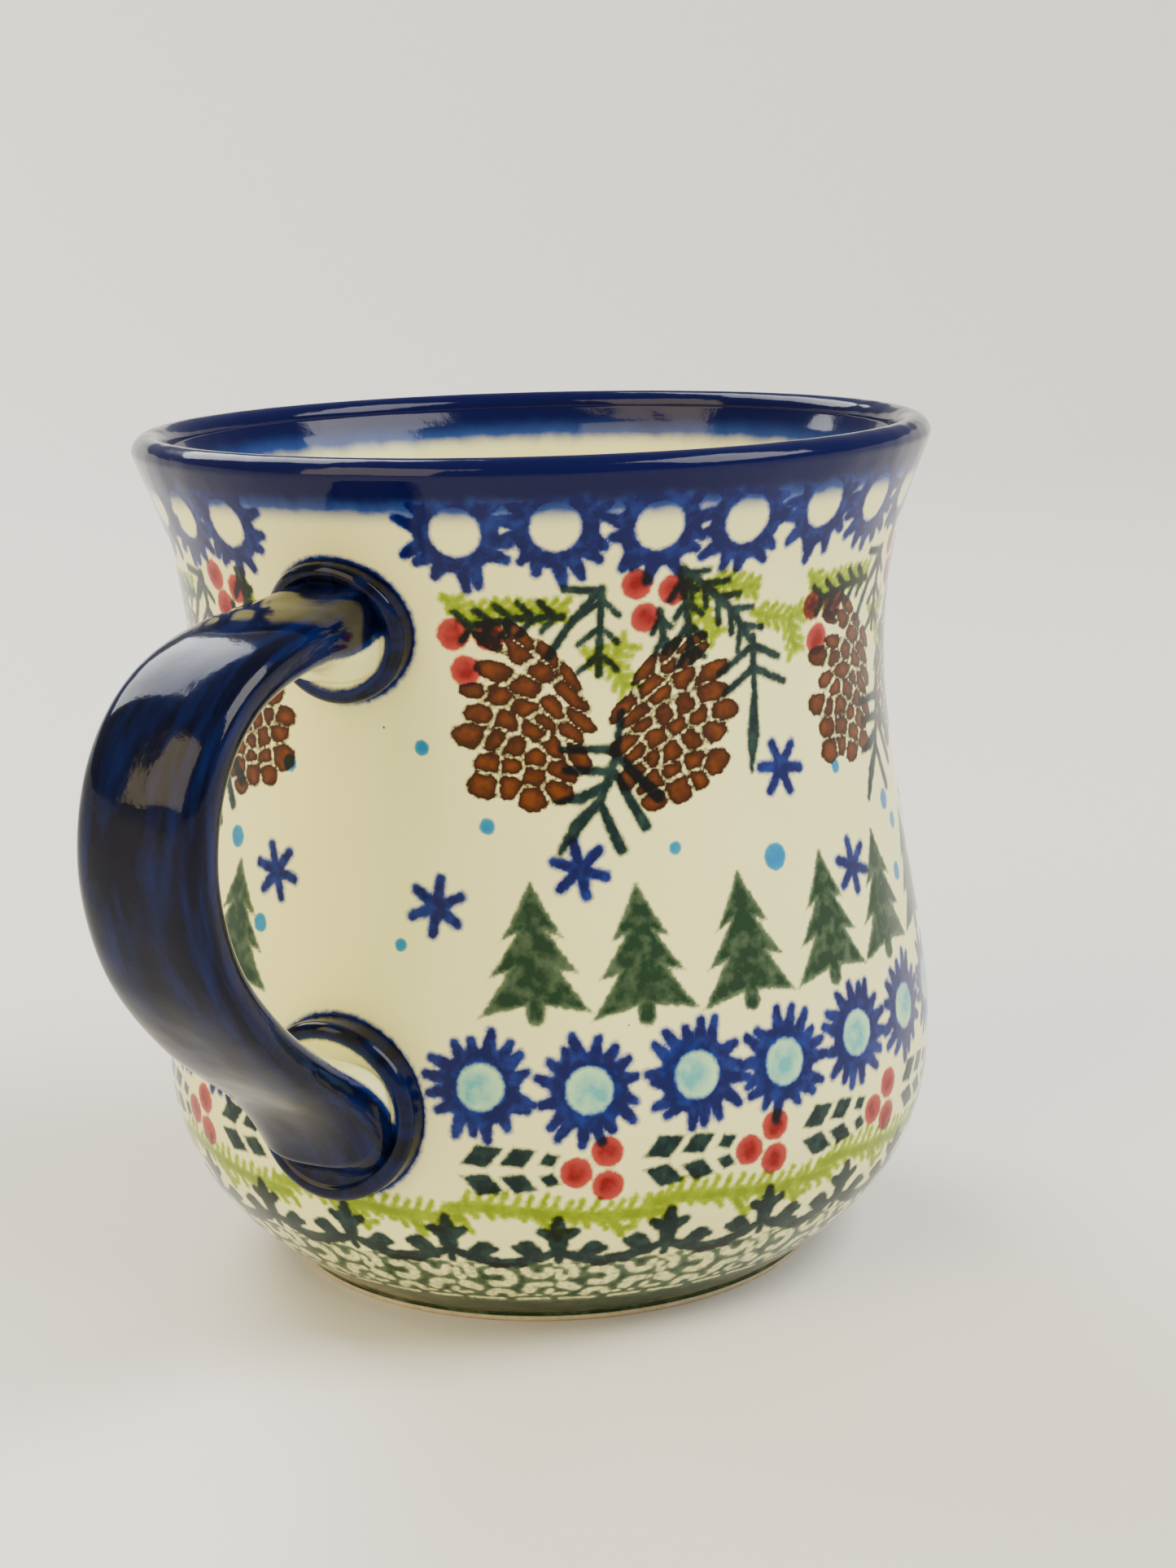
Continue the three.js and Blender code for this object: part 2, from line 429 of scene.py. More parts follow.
@dataclass(frozen=True)
class FirCone:
    """A painted cone: rows of scales inside an egg-shaped outline, with clear gaps between."""

    length: float
    half_width: float
    lean: float
    row_slope: float
    scale_height: float = 1.9
    scale_width: float = 2.9
    gap: float = 0.26
    fill: float = 1.13
    row_shift: float = 0.25
    edge_inset: float = 0.93
    edge_sink: float = 0.9
    seat_scatter: float = 0.45
    row_scatter: float = 0.4
    tilt_scatter: float = 0.25
    smallest: float = 0.85
    biggest: float = 1.2

    def shape(self, seed: int) -> Shape:
        """The scales: each is an oval, cut back halfway to its nearest neighbour.

        Args:
            seed: shifts the scales a little.

        Returns:
            The distance function, measured from the cone's tip with its length going up.
        """
        chance = np.random.default_rng(seed)
        seats: list[tuple[float, ...]] = []
        rows = int(self.length / self.scale_height)
        for row in range(rows):
            share = (row + 0.5) / rows
            half = self.half_width * math.sin(math.pi * (0.12 + 0.74 * share)) ** 0.7
            count = max(2, round(2 * half / (self.scale_width * (0.82 + 0.3 * share))))
            shift = self.row_shift if row % 2 else -self.row_shift
            for place in range(count):
                side = (2 * (place + 0.5 + shift * (count > 2)) / count - 1) * self.edge_inset
                x = side * half + chance.uniform(-self.seat_scatter, self.seat_scatter)
                y = self.length * share - self.edge_sink * side**2
                y += chance.uniform(-self.row_scatter, self.row_scatter)
                y += self.row_slope * share * x
                size = chance.uniform(self.smallest, self.biggest)
                wide = self.scale_width * (0.42 + 0.26 * share + 0.08 * abs(side)) * size
                high = self.scale_height * (0.72 - 0.37 * share - 0.1 * abs(side)) * size
                tilt = chance.uniform(-self.tilt_scatter, self.tilt_scatter)
                tilt += self.row_slope * share - self.tilt_scatter * side
                seats.append((x, y, wide, high, tilt))
        table = np.array(seats)
        x, y, wide, high, tilt = (table[:, i, None, None] for i in range(5))
        c, s = math.cos(math.radians(self.lean)), math.sin(math.radians(self.lean))
        typical = self.scale_height * 0.55

        def distance(across: Field, up: Field) -> Field:
            """The distance to the nearest scale."""
            right, along = across * c - up * s, across * s + up * c
            u = (right - x) * np.cos(tilt) + (along - y) * np.sin(tilt)
            v = (along - y) * np.cos(tilt) - (right - x) * np.sin(tilt)
            apart = np.sort(np.hypot(u / wide, v / high), axis=0)
            own = (apart[0] - self.fill) * typical
            shared = self.gap / 2 - (apart[1] - apart[0]) * typical / 2
            return np.maximum(own, shared)

        return distance


# --- The painting ---------------------------------------------------------------------------


SPREAD = {
    Pigment.COBALT: 0.16,
    Pigment.PINE: 0.12,
    Pigment.LIME: 0.14,
    Pigment.FIR: 0.05,
    Pigment.BROWN: 0.08,
    Pigment.RED: 0.22,
}


class Canvas:
    """The cup's outer wall unrolled: a grid of turns from the handle and heights up the wall."""

    def __init__(self, columns: int, heights: Field, radii: Field) -> None:
        """Starts with no paint anywhere.

        Args:
            columns: how many places there are round the cup.
            heights: the distance up the wall of each row, in millimetres.
            radii: the cup's radius at each row, in millimetres.
        """
        self.columns = columns
        self.heights = heights
        self.radii = radii
        self.layers = {pigment: np.full((len(heights), columns), FAR) for pigment in Pigment}

    def paint(
        self,
        pigment: Pigment,
        turn: float,
        height: float,
        reach: float,
        shape: Shape,
        lean: float = 0.0,
    ) -> None:
        """Adds one mark, by the smaller of the old and the new distance.

        Args:
            pigment: the layer that takes the mark.
            turn: the mark's middle, in degrees counter-clockwise from the handle.
            height: its middle's distance up the wall, in millimetres.
            reach: how far from its middle the mark may go.
            shape: its distance function.
            lean: a turn of the whole mark in degrees.
        """
        reach += MARK_MARGIN
        rows = np.flatnonzero(np.abs(self.heights - height) <= reach)
        if not len(rows):
            return
        radius = float(np.interp(height, self.heights, self.radii))
        step = 2 * math.pi * radius / self.columns
        middle = (turn % 360) / 360 * self.columns
        span = np.arange(math.floor(middle - reach / step), middle + reach / step)
        columns = span.astype(int) % self.columns
        across = np.broadcast_to((span - middle) * step, (len(rows), len(span)))
        up = np.broadcast_to((self.heights[rows] - height)[:, None], across.shape)
        c, s = math.cos(math.radians(lean)), math.sin(math.radians(lean))
        found = shape(across * c + up * s, up * c - across * s) - SPREAD.get(pigment, 0.0)
        cut = np.ix_(rows, columns)
        self.layers[pigment][cut] = np.minimum(self.layers[pigment][cut], found)

    def named(self, rows: slice) -> dict[str, Field]:
        """The layers of some rows, by their names."""
        return {pigment.value: values[rows] for pigment, values in self.layers.items()}


@dataclass(frozen=True)
class WinterPattern:
    """The decoration: turns are degrees from the handle, heights millimetres up the wall."""

    upper_sun_height: float = 91.8
    upper_sun_start: float = 19.4
    upper_sun_pitch: float = 13.65
    upper_sun_count: int = 22
    crowded_sun_start: float = 319.0
    crowded_sun_pitch: float = 11.4
    crowded_sun_count: int = 3
    garland_start: float = 29.0
    garland_pitch: float = 58.0
    garland_count: int = 6
    garland_height: float = 72.2
    last_bunch_width: float = 17.5
    waist_radius: float = 39.3
    flake_arm: float = 2.75
    snow_end: float = 318.0
    tree_start: float = 28.0
    tree_pitch: float = 15.55
    tree_count: int = 21
    tree_height: float = 42.5
    lower_sun_height: float = 35.4
    lower_sun_start: float = 20.8
    lower_sun_pitch: float = 14.4
    lower_sun_count: int = 23
    holly_start: float = 33.0
    holly_pitch: float = 24.5
    holly_count: int = 13
    feather_start: float = 17.0
    feather_radius: float = 43.6
    feather_count: int = 13
    leaf_count: int = 23
    leaf_start: float = 14.7
    leaf_swell: float = 1.18
    scroll_top: float = 15.2
    scroll_bottom: float = 6.3
    scroll_wash: float = 0.08
    line_width: float = 0.16

    def paint_all(self, canvas: Canvas) -> None:
        """Paints every row of the decoration, from the lip down to the foot."""
        self.upper_suns(canvas)
        for number in range(self.garland_count):
            self.garland(canvas, self.garland_start + number * self.garland_pitch, number)
        self.snow(canvas)
        self.trees(canvas)
        self.lower_suns(canvas)
        self.holly(canvas)
        self.feathers(canvas)
        self.leaves(canvas)
        self.scrolls(canvas)

    def upper_suns(self, canvas: Canvas) -> None:
        """The row of suns that hangs from the blue lip band."""
        chance = np.random.default_rng(11)
        turns = self.upper_sun_start + self.upper_sun_pitch * np.arange(self.upper_sun_count)
        crowd = self.crowded_sun_start + self.crowded_sun_pitch * np.arange(self.crowded_sun_count)
        sun = Sun(middle=2.6, ring=1.75, reach=5.6, ray_width=1.25)
        for number, turn in enumerate(np.concatenate([turns, crowd])):
            height = self.upper_sun_height + chance.uniform(-0.4, 0.4)
            turn = turn + chance.uniform(-0.3, 0.3)
            canvas.paint(Pigment.COBALT, turn, height, 7, sun.shape(100 + number))

    def lower_suns(self, canvas: Canvas) -> None:
        """The row of suns round the belly, each with a turquoise middle."""
        chance = np.random.default_rng(12)
        sun = Sun(middle=2.5, ring=1.5, reach=5.55, rays=16, ray_width=1.1)
        for number in range(self.lower_sun_count):
            turn = self.lower_sun_start + self.lower_sun_pitch * number
            turn = turn + chance.uniform(-0.4, 0.4)
            height = self.lower_sun_height + chance.uniform(-0.4, 0.4)
            canvas.paint(Pigment.COBALT, turn, height, 7, sun.shape(200 + number))
            blot = (turn + chance.uniform(-0.9, 0.9), height + chance.uniform(-0.6, 0.6))
            canvas.paint(Pigment.WASH, *blot, 4, disc(sun.middle + 0.95))

    def trees(self, canvas: Canvas) -> None:
        """The row of fir trees."""
        chance = np.random.default_rng(13)
        for number in range(self.tree_count):
            turn = self.tree_start + self.tree_pitch * number + chance.uniform(-0.3, 0.3)
            height = self.tree_height + chance.uniform(-0.3, 0.5)
            shape = FirTree().shape()
            canvas.paint(Pigment.FIR, turn, height, 14, shape, chance.uniform(-2, 2))

    def snow(self, canvas: Canvas) -> None:
        """Snowflakes and blue dots in the open field, the same for each third of the turn."""
        flakes = ((-13, 55.5), (14.5, 53.7), (35, 57.3), (68.6, 65.1), (82.5, 53))
        dots = (
            (-11.2, 66.8, 0.95),
            (-23, 58, 1.2),
            (-15.8, 49.8, 1.05),
            (12.2, 69.5, 0.8),
            (9.3, 49.7, 0.7),
            (21.9, 61.8, 0.85),
            (49.1, 58.7, 0.7),
            (65.7, 56.2, 1.45),
            (81.3, 63.7, 0.75),
            (100, 55.2, 1.0),
        )
        chance = np.random.default_rng(14)
        arm = self.flake_arm
        arms = [
            (0, 0, arm * math.cos(a), arm * math.sin(a), 0.62, 0.52)
            for a in np.arange(6) * math.pi / 3
        ]
        for third in range(3):
            for turn, height in flakes:
                place = (self.clear_turn(turn, height, third), height)
                canvas.paint(Pigment.COBALT, *place, 4, strokes(arms), chance.uniform(0, 60))
            for turn, height, radius in dots:
                place = (self.clear_turn(turn, height, third), height)
                if place[0] < self.snow_end:
                    canvas.paint(Pigment.SKY, *place, 3, disc(radius))

    def clear_turn(self, turn: float, height: float, third: int) -> float:
        """A snow mark's turn: past the first third, a low one moves to midway between trees."""
        turn += 120 * third
        if third == 0 or height > self.tree_height + 15:
            return turn
        steps = round((turn - self.tree_start) / self.tree_pitch - 0.5) + 0.5
        return self.tree_start + self.tree_pitch * steps

    def holly(self, canvas: Canvas) -> None:
        """Sprays of paired leaves, big to small, each ending in three berries.

        The last spray stops at the handle's collar, before its berries.
        """
        leaves = ((-12.5, 2.3, 1.3, 1.55), (-7.7, 1.95, 1.15, 1.4), (-3.5, 1.1, 0.8, 1.1))
        berries = ((0.0, 26.5), (4.2, 28.6), (4.2, 24.9))
        chance = np.random.default_rng(15)
        for unit in range(self.holly_count + 1):
            turn = self.holly_start + self.holly_pitch * unit
            lift = chance.uniform(-0.2, 0.3)
            for offset, half_length, half_width, rise in leaves:
                for side in (-1, 1):
                    leaf = lozenge(half_length, half_width, side * 21)
                    place = (turn + offset, 26.9 + lift + side * rise)
                    canvas.paint(Pigment.PINE, *place, 4, leaf)
            if unit == self.holly_count:
                continue
            for offset, height in berries:
                canvas.paint(Pigment.RED, turn + offset, height + lift, 3, disc(1.5))

    def feathers(self, canvas: Canvas) -> None:
        """A yellow-green feather band, in pieces that overlap a little."""
        middle = 22
        span = 2 * math.pi * self.feather_radius / self.feather_count
        stem = ((-1, 22.6), (2, 22.9), (8, 22.2), (14, 21.5), (span, 21.4))
        line = np.array(stem, float)
        for piece in range(self.feather_count):
            chance = np.random.default_rng(300 + piece)
            rows = [(*line[i], *line[i + 1], 0.72, 0.66) for i in range(len(line) - 1)]
            for x in np.arange(0.2, span, 1.32):
                y = float(np.interp(x, line[:, 0], line[:, 1]))
                tip = (x + 0.85 + chance.uniform(-0.2, 0.2), y + chance.uniform(1.5, 2.15))
                rows.append((x, y, *tip, 0.34, 0.26))
            for x in np.arange(0.6, span, 1.7):
                y = float(np.interp(x, line[:, 0], line[:, 1]))
                tip = (x + 0.9 + chance.uniform(-0.2, 0.3), y - chance.uniform(0.9, 1.7))
                rows.append((x, y, *tip, 0.4, 0.32))
            for x in (8.4, 15.2):
                rows.append((x, 21.6, x + 1.6, 19.0, 0.5, 0.45))
                rows.append((x + 1.2, 19.6, x + 2.9, 19.9, 0.4, 0.35))
            turn = self.feather_start + piece * 360 / self.feather_count
            shape = strokes(np.array(rows) - (0, middle, 0, middle, 0, 0))
            canvas.paint(Pigment.LIME, turn, middle, span + 3, shape)

    def leaves(self, canvas: Canvas) -> None:
        """A vine of dark green leaves: a lobed leaf stands over each pair of side leaves."""
        rows = [
            (0, -1.6, 0, 0.2, 0.36, 0.4),
            (0, 0.2, 0, 2.2, 0.7, 0.95),
            (0, 2.2, 0, 3.6, 0.95, 0.6),
            (0, 3.6, 0, 4.3, 0.6, 0.42),
            (0, 1.9, -1.7, 2.9, 0.8, 0.42),
            (0, 1.9, 1.7, 2.9, 0.8, 0.42),
            (0, 0, -2.0, -0.8, 0.4, 0.62),
            (-2.0, -0.8, -3.3, 0.6, 0.75, 0.95),
            (-3.3, 0.6, -4.4, 0.7, 0.8, 0.36),
            (-1.8, -0.7, -4.6, -1.8, 0.6, 0.7),
            (-4.4, -1.8, -6.0, -1.8, 0.75, 0.62),
            (0, 0, 2.2, -0.9, 0.4, 0.68),
            (2.2, -0.9, 3.7, 0.4, 0.75, 0.88),
            (3.7, 0.4, 4.8, 0.3, 0.7, 0.34),
            (2.0, -0.8, 4.6, -1.8, 0.6, 0.74),
        ]
        swell = (1, 1, 1, 1, self.leaf_swell, self.leaf_swell)
        shape = strokes(np.array(rows) * swell)
        chance = np.random.default_rng(16)
        for unit in range(self.leaf_count):
            turn = self.leaf_start + unit * 360 / self.leaf_count
            height = 17.1 + chance.uniform(-0.2, 0.2)
            canvas.paint(Pigment.PINE, turn, height, 8, shape, chance.uniform(-2, 2))

    def scrolls(self, canvas: Canvas) -> None:
        """The scroll band: green all over, less the cream curls, above a plain green base.

        Inside the curls the green's distance stays at scroll_wash, which leaves a thin film of it.
        """
        curls = (
            (4.2, 12.4, 1.35, -118, 236, 0.66),
            (8.3, 14.0, 1.2, 180, 180, 0.6),
            (-0.5, 13.2, 2.0, -12, 90, 0.62),
            (4.0, 8.2, 1.2, 5, 170, 0.62),
        )
        dabs = (
            (0.2, 12.3, 0.4, 12.5, 0.62, 0.5),
            (0.5, 10.8, 1.6, 10.1, 0.9, 0.8),
            (7.1, 9.6, 7.6, 10.7, 0.8, 0.75),
            (7.7, 11.0, 9.4, 11.1, 0.6, 0.5),
            (9.2, 9.0, 9.5, 9.7, 0.5, 0.45),
            (0.2, 7.1, 3.9, 6.95, 0.42, 0.45),
            (5.9, 7.0, 9.1, 7.1, 0.45, 0.42),
            (6.2, 8.3, 6.6, 8.4, 0.42, 0.38),
            (8.0, 8.3, 8.3, 8.3, 0.36, 0.3),
            (-0.5, 8.5, 0.6, 8.7, 0.5, 0.42),
            (10.4, 12.6, 10.4, 13.6, 0.4, 0.5),
            (2.3, 14.6, 3.2, 14.9, 0.3, 0.3),
            (5.8, 14.7, 6.6, 14.5, 0.35, 0.3),
        )
        middle = 11
        curl = arcs(np.array(curls) - (0, middle, 0, 0, 0, 0))
        dab = strokes(np.array(dabs) - (0, middle, 0, middle, 0, 0))
        cream = Canvas(canvas.columns, canvas.heights, canvas.radii)
        for unit in range(self.leaf_count):
            turn = self.leaf_start + unit * 360 / self.leaf_count
            cream.paint(Pigment.FIR, turn, middle, 12, joined(curl, dab))
        height = canvas.heights[:, None]
        band = np.maximum(height - self.scroll_top, self.scroll_bottom - 0.2 - height)
        lines = np.maximum(band, -cream.layers[Pigment.FIR] - self.line_width)
        wash = np.maximum(band, self.scroll_wash)
        found = np.minimum(lines, np.minimum(wash, height - self.scroll_bottom))
        green = canvas.layers[Pigment.FIR]
        np.minimum(green, np.clip(found, -FAR, FAR), out=green)

    def garland(self, canvas: Canvas, turn: float, number: int) -> None:
        """One bunch: two cones, fir twigs, yellow-green sprays and berries.

        Args:
            canvas: the wall to paint on.
            turn: where the left cone is.
            number: which bunch this is, which shifts its parts a little.
        """
        chance = np.random.default_rng(400 + number)
        lean = 0.0 if number in (0, 5) else chance.uniform(-4, 4)
        height = self.garland_height

        def degrees(across: float) -> float:
            """The turn that a distance across the waist takes."""
            return math.degrees(across / self.waist_radius)

        sprays: list[tuple[float, ...]] = []
        for spine in (
            ((-8.4, 12.6), (-5.8, 10.6), (-3.4, 8.6)),
            ((-5.8, 10.9), (-1, 11.2), (3.4, 11.0)),
            ((5.2, 6.8), (7.2, 5.4), (9.4, 7.2)),
            ((7.8, 5.6), (9.5, 3.0)),
            ((15.9, 13.2), (17.4, 9.4), (19.2, 7.4)),
            ((18.0, 12.9), (23.8, 11.9)),
            ((23.6, 9.2), (28.5, 8.0), (34.4, 9.6)),
            ((28.6, 7.8), (29.8, 4.6)),
        ):
            sprays += twig(spine, 1.45, 1.15, 48, 0.42, 0.34)
        edge = self.last_bunch_width if number == self.garland_count - 1 else FAR * 20
        shape = strokes([row for row in sprays if row[2] < edge])
        canvas.paint(Pigment.LIME, turn, height, 40, shape, lean)

        twigs: list[tuple[float, ...]] = []
        twigs += twig(((3.2, 10.4), (-1.4, 10.3), (-6.2, 9.6)), 2.1, 2.05, 47, 0.38, 0.36)
        twigs += [(1.6, 6.4, 4.1, 9.9, 0.4, 0.4), (4.1, 9.9, 7.0, 13.0, 0.4, 0.45)]
        twigs += [(3.3, 13.2, 7.0, 12.8, 0.4, 0.4)]
        twigs += twig(((7.0, 13.0), (6.8, 8.0), (6.7, 4.4)), 2.5, 2.75, 50, 0.42, 0.34)
        spine = ((15.0, 14.6), (17.8, 12.5), (20.9, 9.8), (23.4, 6.4))
        twigs += twig(spine, 2.5, 2.2, 42, 0.44, 0.38)
        twigs += twig(((15.0, 14.2), (15.7, 10.5), (16.6, 5.0)), 2.1, 2.3, 45, 0.42, 0.38)
        twigs += twig(((12.9, 10.4), (13.6, 6.2)), 1.6, 2.0, 40, 0.4, 0.36)
        twigs += twig(((23.7, 6.8), (24.1, 1.2)), 4.3, 2.35, 62, 0.42, 0.44)
        twigs += [
            (24.1, 1.2, 23.8, -3.4, 0.35, 0.78),
            (23.8, -3.4, 23.3, -7.0, 0.78, 0.15),
            (8.9, 0.5, 8.2, -4.0, 0.35, 0.42),
            (8.2, -4.0, 6.4, -8.2, 0.42, 0.42),
            (8.2, -3.2, 2.8, -2.9, 0.45, 0.36),
            (7.9, -5.4, 3.0, -5.0, 0.45, 0.36),
            (7.4, -6.6, 4.6, -7.8, 0.4, 0.6),
            (4.6, -7.8, 2.0, -8.2, 0.6, 0.2),
            (8.3, -3.8, 12.4, -8.2, 0.42, 0.62),
            (8.1, -5.7, 10.9, -11.0, 0.42, 0.58),
            (6.4, -8.2, 4.0, -10.6, 0.45, 0.72),
            (4.0, -10.6, 2.2, -13.2, 0.72, 0.3),
            (6.4, -8.4, 8.3, -13.2, 0.42, 0.6),
        ]
        shape = strokes([row for row in twigs if row[2] < edge])
        canvas.paint(Pigment.PINE, turn, height, 40, shape, lean)

        left = FirCone(length=16.2, half_width=6.8, lean=12, row_slope=-0.55)
        right = FirCone(length=15.2, half_width=6.5, lean=-8, row_slope=0.5)
        for cone, x, y, seed in ((left, -2.2, -7.8, 500), (right, 15.2, -8.2, 520)):
            lifted = math.radians(lean)
            place_x = x * math.cos(lifted) - y * math.sin(lifted)
            place_y = y * math.cos(lifted) + x * math.sin(lifted)
            place = (turn + degrees(place_x), height + place_y)
            canvas.paint(Pigment.BROWN, *place, 21, cone.shape(seed + number), lean)

        berries = ((-7.7, 9.0), (-4.1, 8.4), (-6.6, 5.2), (10.4, 13.4), (14.2, 12.3), (11.4, 9.9))
        for x, y in berries:
            place = (turn + degrees(x), height + y + chance.uniform(-0.3, 0.3))
            canvas.paint(Pigment.RED, *place, 3, disc(1.45 + chance.uniform(-0.1, 0.1)))


# --- Finishes -------------------------------------------------------------------------------


def colour(code: str) -> Colour:
    """A linear colour from a six-digit display code, by the usual display curve."""
    shown = [int(code[i : i + 2], 16) / 255 for i in (0, 2, 4)]
    linear = [s / 12.92 if s <= 0.04045 else ((s + 0.055) / 1.055) ** 2.4 for s in shown]
    return (*linear, 1.0)


def over(paint: str, ground: str) -> Colour:
    """What paint has to be multiplied by so that it looks as given over ground."""
    pairs = zip(colour(paint)[:3], colour(ground)[:3])
    return (*(min(p / g, 1.0) for p, g in pairs), 1.0)


class Wiring:
    """Adds nodes to one node tree and links them, with plain values where no link is given."""

    def __init__(self, tree: bpy.types.NodeTree) -> None:
        """Works on tree."""
        self.tree = tree

    def put(self, socket: bpy.types.NodeSocket, value: object) -> None:
        """Links value to socket if it is a socket, and otherwise sets it there."""
        if isinstance(value, bpy.types.NodeSocket):
            self.tree.links.new(value, socket)
        else:
            socket.default_value = value

    def node(self, kind: str, inputs: dict | None = None, **settings: object) -> bpy.types.Node:
        """A node with its settings and its inputs, given by name or by number."""
        made = self.tree.nodes.new(kind)
        for key, value in settings.items():
            setattr(made, key, value)
        for key, value in (inputs or {}).items():
            self.put(made.inputs[key], value)
        return made

    def math(self, operation: str, *values: object) -> bpy.types.NodeSocket:
        """The result of a sum on one to three values."""
        inputs = dict(enumerate(values))
        return self.node("ShaderNodeMath", inputs, operation=operation).outputs[0]

    def step(self, value: object, low: object, high: object) -> bpy.types.NodeSocket:
        """A smooth step from 0 at low to 1 at high."""
        inputs = {"Value": value, "From Min": low, "From Max": high}
        made = self.node("ShaderNodeMapRange", inputs, interpolation_type="SMOOTHSTEP")
        return made.outputs["Result"]

    def clamp(self, value: object) -> bpy.types.NodeSocket:
        """A value held between 0 and 1."""
        return self.node("ShaderNodeClamp", {"Value": value}).outputs[0]

    def wrap(self) -> bpy.types.NodeSocket:
        """The wrap map: shares of a turn across, and millimetres along the piece upwards."""
        return self.node("ShaderNodeUVMap", uv_map=WRAP_MAP).outputs[0]

    def along(self) -> bpy.types.NodeSocket:
        """The wrap map's distance along the piece."""
        return self.node("ShaderNodeSeparateXYZ", {0: self.wrap()}).outputs[1]

    def layer(self, pigment: Pigment) -> bpy.types.NodeSocket:
        """A pigment's distance at each point of the mesh."""
        settings = {"attribute_type": "GEOMETRY", "attribute_name": pigment.value}
        return self.node("ShaderNodeAttribute", **settings).outputs["Fac"]

    def scale(self, value: object, low: float, high: float) -> bpy.types.NodeSocket:
        """A value from 0 to 1, spread evenly from low to high."""
        return self.math("MULTIPLY_ADD", value, high - low, low)

    def mix(self, share: object, a: object, b: object, how: str = "MIX") -> bpy.types.NodeSocket:
        """Two colours mixed by share, in the given way."""
        made = self.node("ShaderNodeMix", data_type="RGBA", blend_type=how)
        for key, value in ((0, share), (6, a), (7, b)):
            self.put(made.inputs[key], value)
        return made.outputs[2]

    def noise(self, place: object, size: object, detail: float = 2) -> bpy.types.NodeSocket:
        """Cloudy noise from 0 to 1, with size marks to each unit of place."""
        inputs = {"Vector": place, "Scale": size, "Detail": detail}
        return self.node("ShaderNodeTexNoise", inputs).outputs[0]


def new_group(name: str, takes: dict[str, str], gives: dict[str, str]) -> tuple:
    """A shader node group with named sockets.

    Args:
        name: the group's name.
        takes: the kind of each input, by name.
        gives: the kind of each output, by name.

    Returns:
        The group, its wiring, its inputs and its output node's inputs.
    """
    tree = bpy.data.node_groups.new(name, "ShaderNodeTree")
    for label, kind in takes.items():
        tree.interface.new_socket(label, in_out="INPUT", socket_type=kind)
    for label, kind in gives.items():
        tree.interface.new_socket(label, in_out="OUTPUT", socket_type=kind)
    wiring = Wiring(tree)
    start = wiring.node("NodeGroupInput")
    end = wiring.node("NodeGroupOutput")
    return tree, wiring, start.outputs, end.inputs


FLOAT, TINT, PLACE = "NodeSocketFloat", "NodeSocketColor", "NodeSocketVector"


